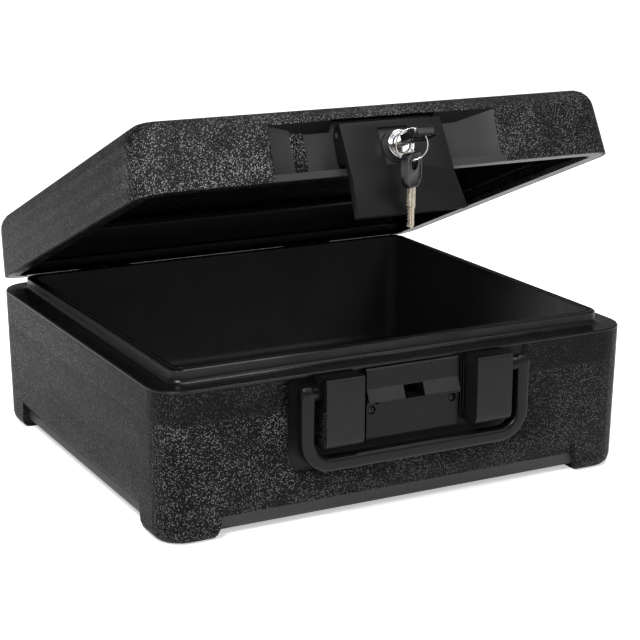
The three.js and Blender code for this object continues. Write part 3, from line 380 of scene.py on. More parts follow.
class Pattern:
    """The nodes of one material in short form: each call adds a node and hands out what it gives."""

    def __init__(self, tree: bpy.types.NodeTree) -> None:
        """Empties the tree."""
        tree.nodes.clear()
        self.tree = tree

    @cached_property
    def place(self) -> Socket:
        """The piece's own coordinates, added when first asked for."""
        return self.add("ShaderNodeTexCoord")["Object"]

    def add(self, kind: str, links: Optional[Links] = None, **settings: object) -> bpy.types.NodeOutputs:
        """Adds any node and hands out all its outputs."""
        return add_node(self.tree, kind, links, **settings).outputs

    def noise(self, size: float, detail: float, **more: Link) -> Socket:
        """Cloudy noise with features of a size in millimetres."""
        links = {"Vector": self.place, "Scale": 1 / (size * MM), "Detail": detail, **more}
        return self.add("ShaderNodeTexNoise", links)[0]

    def cells(self, size: float) -> bpy.types.NodeOutputs:
        """Packed cells of a size in millimetres: the distance to each one's middle, and a colour of its own."""
        return self.add("ShaderNodeTexVoronoi", {"Vector": self.place, "Scale": 1 / (size * MM)})

    def ramp(self, value: Link, low: float, high: float, start: Link = 0.0, end: Link = 1.0) -> Socket:
        """Leads a value from one range over to another and holds it at the ends."""
        spans = {"Value": value, "From Min": low, "From Max": high, "To Min": start, "To Max": end}
        return self.add("ShaderNodeMapRange", spans)[0]

    def maths(self, operation: str, *values: Link) -> Socket:
        """One step of arithmetic."""
        return self.add("ShaderNodeMath", dict(enumerate(values)), operation=operation)[0]

    def blend(self, share: Link, colour: str, other: str) -> Socket:
        """Mixes two sRGB colours."""
        pair = {"Factor": share, "A": linear(colour), "B": linear(other)}
        return self.add("ShaderNodeMix", pair, data_type="RGBA")["Result"]

    def dim(self, colour: Link, share: Link) -> Socket:
        """Makes a linear colour darker or lighter."""
        return self.add("ShaderNodeVectorMath", {0: colour, "Scale": share}, operation="SCALE")[0]

    def relief(self, height: Link, depth: float, strength: float, edge: float = 0.0) -> Socket:
        """Bumps of a depth in millimetres; with an edge, over corners that shade as if rounded by that radius."""
        links = {"Strength": strength, "Distance": depth * MM, "Height": height}
        if edge:
            links["Normal"] = self.add("ShaderNodeBevel", {"Radius": edge * MM}, samples=4)[0]
        return self.add("ShaderNodeBump", links)[0]


@dataclass(frozen=True)
class Finish:
    """A material's common name and its plain values."""

    name: str
    colour: str
    roughness: float

    def material(self) -> bpy.types.Material:
        """Makes the material once and hands the same one out again."""
        found = bpy.data.materials.get(self.name)
        if found is not None:
            return found
        made = bpy.data.materials.new(self.name)
        made.use_nodes = True
        nodes = Pattern(made.node_tree)
        shader = nodes.add("ShaderNodeBsdfPrincipled", self.paint(nodes))
        nodes.add("ShaderNodeOutputMaterial", {"Surface": shader[0]})
        made.diffuse_color = linear(self.colour)
        return made

    def paint(self, nodes: Pattern) -> Links:
        """Adds the pattern nodes and says what goes into the shader; each kind of finish has its own."""
        raise NotImplementedError


@dataclass(frozen=True)
class MouldedResin(Finish):
    """Polypropylene moulded in a spark-eroded tool: black, with fine hard pebbles whose glints are painted into the
    colour.

    Sizes are in millimetres. A belt is the height of a moulded step, above which the grain is shallower and the painted
    glints fainter.
    """

    # The painted glints' pale colour and their share: painted highlights on single pebbles
    painted_glint_colour: str = "#a6a6a9"
    grain: float = 0.95
    depth: float = 0.42
    painted_glint_share: float = 0.78
    gloss_share: float = 0.45
    specular: float = 0.3
    edge: float = 0.5
    belt: float = 0.0
    front: float = -165.0
    # Width of the slow patches, and between which values a pebble gets a painted glint
    patches: float = 26.0
    rare: tuple[float, float] = (0.88, 1.3)
    # The painted glint fades from one x to another, and over a depth behind the front, to a share: painted light,
    # strongest at the front left where the light falls
    fade_across: Point = (-170.0, 120.0, 0.55)
    fade_behind: tuple[float, float] = (25.0, 0.32)
    # The belt's half width, its rise in grain depths, and the share of grain and painted glint above it
    belt_step: Point = (0.9, 1.6, 0.3)

    def paint(self, nodes: Pattern) -> Links:
        """Pebbles from cells, each with its own gloss, and painted glints, strongest at the front left where the light
        falls.
        """
        cells = nodes.cells(self.grain)
        gap = cells["Distance"]
        lot = nodes.add("ShaderNodeSeparateColor", {"Color": cells["Color"]})
        x, y, z = nodes.add("ShaderNodeSeparateXYZ", {"Vector": nodes.place})
        cloud = nodes.noise(self.patches, 3.0)
        left, right, share_right = self.fade_across
        deep, share_behind = self.fade_behind
        # Painted highlight: rare pebbles get a pale glint colour, fading to the right and towards the back
        glint = nodes.ramp(nodes.maths("ADD", lot[0], cloud), *self.rare, end=self.painted_glint_share)
        lit = nodes.maths("MULTIPLY", glint, nodes.ramp(gap, 0.5, 0.12))
        across = nodes.ramp(x, left * MM, right * MM, 1.0, share_right)
        behind = nodes.ramp(y, self.front * MM, (self.front + deep) * MM, 1.0, share_behind)
        spot = nodes.maths("MULTIPLY", lit, nodes.maths("MULTIPLY", across, behind))
        height = nodes.maths("SUBTRACT", nodes.noise(2 * self.grain, 3.0, Roughness=0.62), gap)
        if self.belt:
            half, rise, calm = self.belt_step
            above = nodes.ramp(z, (self.belt - half) * MM, (self.belt + half) * MM)
            kept = nodes.ramp(above, 0.0, 1.0, 1.0, calm)
            spot = nodes.maths("MULTIPLY", spot, kept)
            height = nodes.maths("MULTIPLY_ADD", above, rise, nodes.maths("MULTIPLY", height, kept))
        # The painted glints mixed into the base colour
        tone = nodes.blend(spot, self.colour, self.painted_glint_colour)
        return {
            "Base Color": nodes.dim(tone, nodes.ramp(cloud, 0.3, 0.7, 0.8, 1.2)),
            "Roughness": nodes.ramp(lot[1], 0.5, 0.95, self.roughness, self.roughness * self.gloss_share),
            "Specular IOR Level": self.specular,
            "IOR": RESIN_IOR,
            "Normal": nodes.relief(height, self.depth, 1.0, self.edge),
        }


@dataclass(frozen=True)
class SatinResin(Finish):
    """The same resin from a polished tool: smooth satin, with slow flow marks and faint handling haze."""

    specular: float = 0.45
    haze: float = 0.1
    edge: float = 0.55
    skin: float = 0.03

    def paint(self, nodes: Pattern) -> Links:
        """Flow marks 30 mm long, haze in the gloss and a fine skin 0.7 mm wide."""
        flow = nodes.noise(30, 4.0, Distortion=0.6)
        half = self.haze / 2
        return {
            "Base Color": nodes.dim(linear(self.colour)[:3], nodes.ramp(flow, 0.3, 0.7, 0.88, 1.12)),
            "Roughness": nodes.ramp(flow, 0.25, 0.75, self.roughness - half, self.roughness + half),
            "Specular IOR Level": self.specular,
            "IOR": RESIN_IOR,
            "Normal": nodes.relief(nodes.noise(0.7, 2.0), self.skin, 0.5, self.edge),
        }


@dataclass(frozen=True)
class PlatedMetal(Finish):
    """Plated or brushed metal: even colour, fine drawn lines or plating ripple, gloss that varies with wear."""

    worn: str = "#8d8d8b"
    lines: float = 0.35
    stretch: Point = (1.0, 1.0, 1.0)
    wear: float = 0.25
    relief: float = 0.01
    edge: float = 0.12

    def paint(self, nodes: Pattern) -> Links:
        """Lines or ripple at their real spacing, and wear in the colour and the gloss."""
        drawn = nodes.add("ShaderNodeMapping", {"Vector": nodes.place, "Scale": self.stretch})[0]
        handled = nodes.noise(4, 4.0)
        return {
            "Base Color": nodes.blend(nodes.ramp(handled, 0.45, 0.75, 0.0, self.wear), self.colour, self.worn),
            "Roughness": nodes.ramp(handled, 0.3, 0.75, self.roughness * 0.8, self.roughness * 1.5),
            "Metallic": 1.0,
            "Normal": nodes.relief(nodes.noise(self.lines, 3.0, Vector=drawn), self.relief, 0.6, self.edge),
        }


@dataclass(frozen=True)
class CastMineral(Finish):
    """Foamed gypsum and cement cast between the shells: pale grey, matt, with open air cells."""

    aggregate: str = "#8f8b84"
    bubbles: float = 1.6

    def paint(self, nodes: Pattern) -> Links:
        """Air cells 1 to 2 mm wide and darker specks of aggregate."""
        return {
            "Base Color": nodes.blend(nodes.noise(3, 5.0), self.colour, self.aggregate),
            "Roughness": self.roughness,
            "Specular IOR Level": 0.3,
            "Normal": nodes.relief(nodes.cells(self.bubbles)["Distance"], 0.4, 0.8),
        }


# Polypropylene, spark-eroded pebble: near-black, with the glints of single pebbles painted pale into the colour
PEBBLE = MouldedResin("polypropylene_pebble_moulded", "#090909", 0.46, belt=87.0, specular=0.1)
# The lid's tool, with more and brighter painted glints along its front
LID_PEBBLE = MouldedResin("polypropylene_pebble_lid", "#0b0b0c", 0.46, painted_glint_colour="#b2b2b5", painted_glint_share=0.9,
                          specular=0.2, front=-126.0)
# A lighter grain, as on the front field and the blocks: even, matt, with faint painted glints
SOFT_PEBBLE = MouldedResin("polypropylene_fine_matt_moulded", "#0c0c0d", 0.52, painted_glint_colour="#303032", grain=0.85,
                           depth=0.09, painted_glint_share=0.4, gloss_share=0.8, specular=0.32)
# Polished-tool polypropylene: even satin with a long soft highlight
SATIN = SatinResin("polypropylene_satin_moulded", "#0a0a0b", 0.27, specular=0.33)
# The tub's inside: the same resin painted lighter, a soft dark grey as painted light from above
SATIN_INSIDE_PAINTED_LIGHT = SatinResin("polypropylene_satin_inside_painted_light", "#48484a", 0.42, specular=0.45)
# The recess's floor, flat to the light: painted paler than the shell round it, as painted light
SATIN_RECESS_PAINTED_LIGHT = SatinResin("polypropylene_satin_recess_painted_light", "#2c2c2d", 0.5, specular=0.32, skin=0.06)
# The recess's roof: painted shade, nearly black
SATIN_ROOF_PAINTED_SHADE = SatinResin("polypropylene_satin_roof_painted_shade", "#0e0e0f", 0.55, specular=0.15, skin=0.06)
# The flap: dull black, so that the lock stands out on it
SATIN_FLAP = SatinResin("polypropylene_satin_flap", "#080809", 0.5, specular=0.26, skin=0.08)
# The keeper and the ribs beside it: deep black with a narrow highlight
SATIN_KEEPER = SatinResin("polypropylene_satin_keeper", "#080809", 0.28, specular=0.22)
# The bail, smoothed by hands: black with a soft line of light along its edge
SATIN_HANDLE = SatinResin("polypropylene_satin_handle", "#090909", 0.32, specular=0.26)
# Gloss-moulded key heads: the shiniest plastic here, faintly smeared
KEY_RESIN = SatinResin("abs_gloss_moulded_key_head", "#0a0a0b", 0.22, specular=0.55, haze=0.16, edge=0.35)
# Rubber seal: flat black that hardly reflects
GASKET = SatinResin("intumescent_rubber_extruded", "#0b0b0b", 0.8, specular=0.2, haze=0.05, edge=0.2)
# A painted highlight along moulded edges: a thin paler line
PAINTED_EDGE_HIGHLIGHT = SatinResin("polypropylene_edge_painted_highlight", "#9a9a9c", 0.4, specular=0.5, edge=0.2)
# The keeper's slope: painted brighter, a painted highlight where it faces the light
SATIN_PAINTED_HIGHLIGHT = SatinResin("polypropylene_satin_painted_highlight", "#1b1b1c", 0.3, specular=0.4)
# The skirt between the feet, painted a dark grey line as painted light from the floor
SATIN_SKIRT_PAINTED_LIGHT = SatinResin("polypropylene_satin_skirt_painted_light", "#2e2e2f", 0.5, specular=0.4, skin=0.08)
# Chrome plate on zinc: mirror-bright, faint orange-peel ripple
CHROME = PlatedMetal("chrome_plated_zinc_die_cast", "#dcdde0", 0.09, worn="#b4b5b8", lines=1.2, relief=0.006)
# Nickel plate on brass: warmer, with fine milling lines along the blade
NICKEL = PlatedMetal("nickel_plated_brass_milled", "#cfc5b4", 0.24, worn="#a3957e", lines=0.3,
                     stretch=(1.0, 1.0, 0.12), wear=0.5)
# Nickel plate on drawn spring wire: bright, with a highlight that runs round the wire
SPRING_WIRE = PlatedMetal("nickel_plated_spring_wire", "#d8d6d0", 0.16, worn="#a9a59c", lines=0.4)
# Zinc plate on pressed steel: cool grey, half dull
ZINC = PlatedMetal("zinc_plated_steel_pressed", "#a9abad", 0.34, worn="#83858a", lines=0.5, wear=0.6)
# Black zinc plate: charcoal with greyer worn patches
BLACK_ZINC = PlatedMetal("black_zinc_plated_steel", "#3a3b3d", 0.36, worn="#5c5d60", lines=0.5, wear=0.5)
# Cast mineral fill: pale, dusty and rough
MINERAL = CastMineral("foamed_gypsum_cast", "#b5b0a6", 0.95)


@dataclass(frozen=True)
class LidPlace:
    """Where the lid's own frame stands: turned open about the hinges' axis."""

    angle: float = 22.0
    axis_y: float = 178.0
    axis_z: float = 112.0
    shift_y: float = 1.39798

    def base(self) -> Matrix:
        """The tub's own frame in the part's frame."""
        return Matrix.Translation((0, self.shift_y * MM, 0))

    def lid(self) -> Matrix:
        """The shut lid's frame turned to its place in the photograph."""
        axis = Matrix.Translation((0, self.axis_y * MM, self.axis_z * MM))
        return self.base() @ axis @ turn(-self.angle, "X") @ axis.inverted()


PLACE = LidPlace()


@dataclass
class Chest:
    """The lower half: shell, fill, tub, seal, keeper and the ribs that guide the flap. Sizes in millimetres."""

    front: float = -170.0
    ledge: float = 109.4
    # Half width, lowest height and set-back of the finer front field; the blocks' inner and outer half widths
    front_field: Point = (103.0, 34.0, 3.2)
    blocks: tuple[float, float] = (60.0, 78.0)
    # Where the feet end in x and y, how far their ends slope and up to which height; the skirt between them
    foot_ends: tuple[float, float] = (147.0, 123.0)
    foot_slope: float = 6.0
    foot_high: float = 13.5
    skirt: tuple[float, float] = (3.6, 14.5)
    # The tub's inside: half width, half depth and height
    inside: Point = (171.0, 147.0, 112.0)
    keeper_side: float = 37.8
    keeper_face: float = 2.9
    nose_low: float = 83.4
    # Width, reach and height of the notch under the nose and of each rib
    notch: Point = (7.5, 6.0, 2.2)
    rib: Point = (0.9, 5.2, 46.0)
    # The ribs' lowest height, how much shorter each is than the last, their root behind the front and their bevel
    rib_low: float = 60.5
    rib_drop: float = 3.5
    rib_root: float = 4.1
    rib_bevel: float = 0.3
    ribs_at: tuple[float, ...] = (39.6, 41.8, 44.2)
    # The pocket behind the strike hole: half width, depth and height, its place, its walls and floor, and its taper
    strike: Point = (7.7, 12.6, 8.8)
    strike_at: Point = (0.0, -156.3, 89.7)
    strike_wall: tuple[float, float] = (0.5, 0.6)
    strike_taper: Point = (0.9, 1.0, 0.88)

    def build(self) -> None:
        """Makes the lower half's pieces."""
        self.shell()
        self.tub()
        Bench.dress(Bench.refit("rim_seal", "rim_gasket"), GASKET, Body.BASE, "seal_rubber", ["rim_seal"])
        self.keeper()
        for side, way in SIDES:
            self.guide_ribs(side, way)
        self.strike_pocket()
        Bench.coat("base_fill", MINERAL)

    def shell(self) -> None:
        """The outer shell: pebbled, with finer faces on the blocks and the front field."""
        piece = Bench.refit("base_shell", "chest_moulding")
        self.slope_feet(piece)
        Bench.spread(piece, (PEBBLE, SOFT_PEBBLE, SATIN, SATIN_SKIRT_PAINTED_LIGHT), PLACE.base(), self.shell_finish)
        Bench.dress(piece, PEBBLE, Body.BASE, "textured_resin", ["base_shell"])

    def shell_finish(self, place: Point, normal: Vector) -> Finish:
        """Which finish a face of the outer shell has.

        Args:
            place: The face's middle in the tub's frame.
            normal: The way it faces.

        Returns:
            Satin on the ledge and the blocks' tops, fine grain on the field and the blocks, and pebbles elsewhere.
        """
        x, y, z = place
        half, bottom, set_back = self.front_field
        inner, outer = self.blocks
        low, high = self.skirt
        along, across = self.foot_ends
        if normal.z > ALONG and z > self.ledge - 4:
            return SATIN
        if abs(x) < half and bottom < z < self.ledge and y > self.front + set_back and normal.y < -0.97:
            return SOFT_PEBBLE
        if abs(x) < outer and y < self.front - 2 and (abs(normal.x) < 0.5 or abs(x) < inner):
            return SOFT_PEBBLE if normal.z < ALONG else SATIN
        # Painted light: the skirt between the feet is painted lighter, as if lit from the floor
        return SATIN_SKIRT_PAINTED_LIGHT if low < z < high and (abs(x) < along - 1 or abs(y) < across - 1) else PEBBLE

    def tub(self) -> None:
        """The tub and its rim: a polished rim over a plainer inside, painted lighter as painted light."""
        piece = Bench.refit("base_liner", "tub_moulding")
        limits = self.inside

        def choose(place: Point, normal: Vector) -> Finish:
            """Painted lighter on the inside as painted light, polished on the rim."""
            within = abs(place[0]) < limits[0] and abs(place[1]) < limits[1] and place[2] < limits[2]
            return SATIN_INSIDE_PAINTED_LIGHT if within else SATIN

        Bench.spread(piece, (SATIN, SATIN_INSIDE_PAINTED_LIGHT), PLACE.base(), choose)
        Bench.dress(piece, SATIN, Body.BASE, "smooth_resin", ["base_liner"])

    def slope_feet(self, piece: Piece) -> None:
        """Slopes the ends of the corner feet up to the bottom between them."""
        levels = {round(corner.co.z / MM, 2) for corner in piece.data.vertices if corner.co.z < self.foot_high * MM}
        for level in sorted(levels):
            slide = self.foot_slope * (1 - level / self.foot_high) * MM
            for axis, end in enumerate(self.foot_ends):
                for way in (-1, 1):

                    def at_end(at: Vector, normal: Vector) -> bool:
                        """Whether a corner is on this level, at this end of a foot."""
                        place = (PLACE.base().inverted() @ at) / MM
                        return abs(place.z - level) < 0.01 and abs(place[axis] - way * end) < 0.5

                    if Bench.edit(piece, Pick.VERT, at_end):
                        bpy.ops.transform.translate(value=[way * slide if n == axis else 0 for n in range(3)])
                    bpy.ops.object.mode_set(mode="OBJECT")

    def keeper(self) -> None:
        """The keeper plate, with the notch under the left end of its nose."""
        piece = Bench.refit("keeper_plate", "keeper_moulding")
        width, reach, height = self.notch
        low = (-self.keeper_side - 1, self.front - self.keeper_face - reach, self.nose_low - 1)
        high = (-self.keeper_side + width, self.front - self.keeper_face - 0.8, self.nose_low + height)
        Bench.cut(piece, Bench.move(Bench.block("notch", low, high), PLACE.base()))

        def choose(place: Point, normal: Vector) -> Finish:
            """A painted highlight on the slope that looks ahead and up."""
            return SATIN_PAINTED_HIGHLIGHT if 0.08 < normal.z < 0.8 and normal.y < -0.5 else SATIN_KEEPER

        Bench.spread(piece, (SATIN_KEEPER, SATIN_PAINTED_HIGHLIGHT), PLACE.base(), choose)
        Bench.dress(piece, SATIN_KEEPER, Body.BASE, "smooth_resin", ["keeper_plate"], 12)

    def guide_ribs(self, side: str, way: int) -> None:
        """Three thin upright ribs between the keeper and a block.

        Args:
            side: The side's name.
            way: -1 on the left and 1 on the right.
        """
        width, reach, height = self.rib
        back = self.front + self.rib_root
        ribs = []
        for number, place in enumerate(self.ribs_at):
            drop = number * self.rib_drop
            low = (way * place - width / 2, back - reach, self.rib_low + drop)
            high = (way * place + width / 2, back + 0.3, self.rib_low + height - drop / 2)
            rib = Bench.block(f"rib_{number}", low, high)
            Bench.edit(rib, Pick.EDGE, lambda at, run: abs(run.z) > ALONG and at.y < (back - reach / 2) * MM)
            bpy.ops.mesh.bevel(offset=self.rib_bevel * MM, segments=2)
            ribs.append(rib)
        piece = Bench.move(Bench.join(f"{side}_guide_ribs", ribs), PLACE.base())
        Bench.dress(piece, SATIN_KEEPER, Body.BASE, "smooth_resin")

    def strike_pocket(self) -> None:
        """The blind pocket that the latch bolt's tip enters, behind the keeper's hole."""
        half, deep, high = self.strike
        x, back, z = self.strike_at
        piece = Bench.block("strike_pocket", (x - half, back - deep, z - high / 2), (x + half, back, z + high / 2))
        Bench.edit(piece, Pick.FACE, lambda at, way: way.y < -ALONG)
        wall, floor = self.strike_wall
        bpy.ops.mesh.inset(thickness=wall * MM)
        Bench.pull(y=deep - floor)
        bpy.ops.transform.resize(value=self.strike_taper)
        Bench.move(piece, PLACE.base())
        Bench.dress(piece, SATIN, Body.BASE, "smooth_resin")


@dataclass
class Lid:
    """The upper half: shell with its recess, fill and lining. Sizes in millimetres, in the shut lid's frame."""

    # The recess's half width and heights, and from where to where it runs back
    recess: Point = (98.0, 113.5, 156.0)
    recess_deep: tuple[float, float] = (-165.9, -140.0)
    # The smooth ledge under it: half width and top; the rounded edge over it begins at the brow
    ledge: tuple[float, float] = (94.5, 117.6)
    brow: float = 153.9
    # How far a slanted side wall leans, and where the pebbled band runs down the left one; its painted glints stand in
    # for light, so it runs down the left wall only
    wall_lean: tuple[float, float] = (0.05, 0.7)
    band: tuple[float, float] = (63.0, 74.5)

    def build(self) -> None:
        """Makes the upper half's pieces."""
        self.shell()
        Bench.dress(Bench.refit("lid_liner", "lid_lining"), SATIN, Body.LID, "smooth_resin", ["lid_liner"])
        Bench.coat("lid_fill", MINERAL)

    def in_recess(self, place: Sequence[float]) -> bool:
        """Whether a place in millimetres is within the front recess."""
        half, low, high = self.recess
        front, back = self.recess_deep
        return abs(place[0]) < half and low < place[2] < high and front < place[1] < back

    def shell(self) -> None:
        """The outer shell: pebbled, with a satin recess painted paler as painted light, and a pebbled band with painted
        glints down its left slanted wall.
        """
        piece = Bench.refit("lid_shell", "lid_moulding")
        low, high = self.wall_lean
        back = PLACE.lid().inverted()

        def leans(at: Vector, normal: Vector) -> bool:
            """Whether a face is one of the recess's slanted side walls."""
            return self.in_recess([value / MM for value in back @ at]) and low < abs(normal.x) < high

        def faces_ahead(at: Vector, normal: Vector) -> bool:
            """Whether a face looks straight ahead."""
            return (back.to_3x3() @ normal).y < -0.95

        cuts = [(-across, leans) for across in self.band] + [(way * self.ledge[0], faces_ahead) for way in (-1, 1)]
        for across, wanted in cuts:
            Bench.edit(piece, Pick.FACE, wanted)
            bpy.ops.mesh.bisect(plane_co=(across * MM, 0, 0), plane_no=(1, 0, 0))
            bpy.ops.object.mode_set(mode="OBJECT")
        Bench.spread(piece, (LID_PEBBLE, SATIN_RECESS_PAINTED_LIGHT, SATIN_ROOF_PAINTED_SHADE), PLACE.lid(), self.shell_finish)
        Bench.dress(piece, LID_PEBBLE, Body.LID, "textured_resin", ["lid_shell"])

    def shell_finish(self, place: Point, normal: Vector) -> Finish:
        """Which finish a face of the outer shell has.

        Args:
            place: The face's middle in the shut lid's frame.
            normal: The way it faces.

        Returns:
            Satin painted paler in the recess and on its ledge as painted light, painted shade on its roof, and pebbles
            elsewhere.
        """
        x, _, z = place
        low, high = self.wall_lean
        side, top = self.ledge
        banded = low < abs(normal.x) < high and self.band[0] < -x < self.band[1]
        rounded = normal.y < -0.8 and z > self.brow
        smooth = self.in_recess(place) and not banded and not rounded
        if smooth or (abs(x) < side and z < top and normal.y < -ALONG):
            # Painted light: paler satin in the recess and on its ledge, painted shade on the roof that faces down
            return SATIN_ROOF_PAINTED_SHADE if normal.z < -0.4 else SATIN_RECESS_PAINTED_LIGHT
        return LID_PEBBLE


@dataclass
class CrossScrew:
    """A pan-head screw with a cross recess, modelled once and copied. Sizes in millimetres."""

    head: float = 2.8
    rise: float = 1.8
    shank: float = 1.6
    length: float = 8.0
    pitch: float = 1.1
    arm: float = 1.75
    slot: float = 0.7
    # The head's dome from its middle outwards, as shares of the head's radius and rise
    dome: tuple[tuple[float, float], ...] = ((0, 1), (0.45, 0.97), (0.75, 0.82), (0.93, 0.52), (1, 0.18), (1, 0))
    # Plain length under the head and above the tip, and the thread's root as a share of the shank
    plain: tuple[float, float] = (0.6, 1.2)
    root: float = 0.76
    # The recess's floor as a share of the rise, and its taper
    driver: tuple[float, float] = (0.35, 0.72)
    master: Optional[Piece] = None

    def model(self) -> Piece:
        """Turns the screw on its Z axis, its seat at the origin, and cuts the recess."""
        rise, shank = self.rise, self.shank
        under, tip = self.plain
        floor, taper = self.driver
        section = [(self.head * across, rise * up) for across, up in self.dome] + [(shank, 0)]
        for ridge in range(int((self.length - 2) / self.pitch)):
            height = -under - ridge * self.pitch
            section += [(shank, height), (shank * self.root, height - self.pitch / 2)]
        section += [(shank * 0.7, -self.length + tip), (0, -self.length)]
        screw = Bench.turned("cross_screw", section, 32)
        for across, along in ((self.slot, self.arm * 2), (self.arm * 2, self.slot)):
            tool = Bench.block("driver", (-across / 2, -along / 2, rise * floor), (across / 2, along / 2, rise + 1))
            Bench.edit(tool, Pick.FACE, lambda at, way: way.z < -ALONG)
            bpy.ops.transform.resize(value=(taper, taper, 1))
            bpy.ops.object.mode_set(mode="OBJECT")
            Bench.cut(screw, tool)
        return screw

    def fit(self, node: str, place: Matrix, finish: Finish, body: Body) -> None:
        """Copies the screw to a place and lets it stand for a CAD screw.

        Args:
            node: The CAD screw.
            place: Where its seat is; its head faces that frame's Z.
            finish: The screw's plating.
            body: The body that it rides on.
        """
        if self.master is None:
            self.master = self.model()
        piece = Bench.twin(self.master, f"{node}_cross_head", place)
        Bench.dress(piece, finish, body, "plated_steel", [node], 45)

    def put_away(self) -> None:
        """Removes the pattern screw once all copies are placed."""
        bpy.data.objects.remove(self.master)


@dataclass
class Hinges:
    """The two rear hinges with their pins and screws. Sizes in millimetres."""

    screws: CrossScrew
    centre: float = 97.0
    spread: float = 26.0
    seat: float = 172.6
    axis: tuple[float, float] = (178.0, 112.0)
    screw_off: float = 20.0
    half: float = 22.0
    pin: float = 2.1
    pin_head: float = 3.5
    # The head's dome as shares of its radius, and how far each stands out
    pin_dome: tuple[tuple[float, float], ...] = ((0, 2), (0.6, 1.9), (0.9, 1.4), (1, 0.8), (1, 0.3))
    keeper_screw: Point = (33.5, -170.94, 79.0)

    def build(self) -> None:
        """Makes the leaves, pins and all pan-head screws."""
        for side, way in SIDES:
            for part, body in (("hinge_base_leaf", Body.BASE), ("hinge_lid_leaf", Body.LID)):
                node = f"{side}_{part}"
                Bench.dress(Bench.refit(node, f"{node}_pressed"), BLACK_ZINC, body, "plated_steel", [node])
            self.hinge_pin(side, way)
        spots = [c * self.centre + s * self.spread / 2 for c in (-1, 1) for s in (-1, 1)]
        leaves = (("base", -1, PLACE.base(), Body.BASE), ("lid", 1, PLACE.lid(), Body.LID))
        for number, x in enumerate(spots, 1):
            for name, way, frame_of, body in leaves:
                place = frame_of @ shift(x, self.seat, self.axis[1] + way * self.screw_off) @ turn(-90, "X")
                self.screws.fit(f"{name}_hinge_screw_{number}", place, ZINC, body)
        x, y, z = self.keeper_screw
        for side, way in SIDES:
            place = PLACE.base() @ shift(way * x, y, z) @ turn(90, "X")
            self.screws.fit(f"{side}_keeper_screw", place, BLACK_ZINC, Body.BASE)

    def hinge_pin(self, side: str, way: int) -> None:
        """A headed pin, its head domed and its far end chamfered."""
        pin, half = self.pin, self.half
        section = [(self.pin_head * share, -half - out) for share, out in self.pin_dome]
        section += [(pin, -half - 0.3), (pin, half + 1.2), (pin - 0.7, half + 2), (0, half + 2)]
        piece = Bench.turned(f"{side}_hinge_pin_headed", section, 32)
        Bench.move(piece, PLACE.base() @ shift(way * self.centre, *self.axis) @ turn(90, "Y"))
        Bench.dress(piece, ZINC, Body.BASE, "plated_steel", [f"{side}_hinge_pin"])


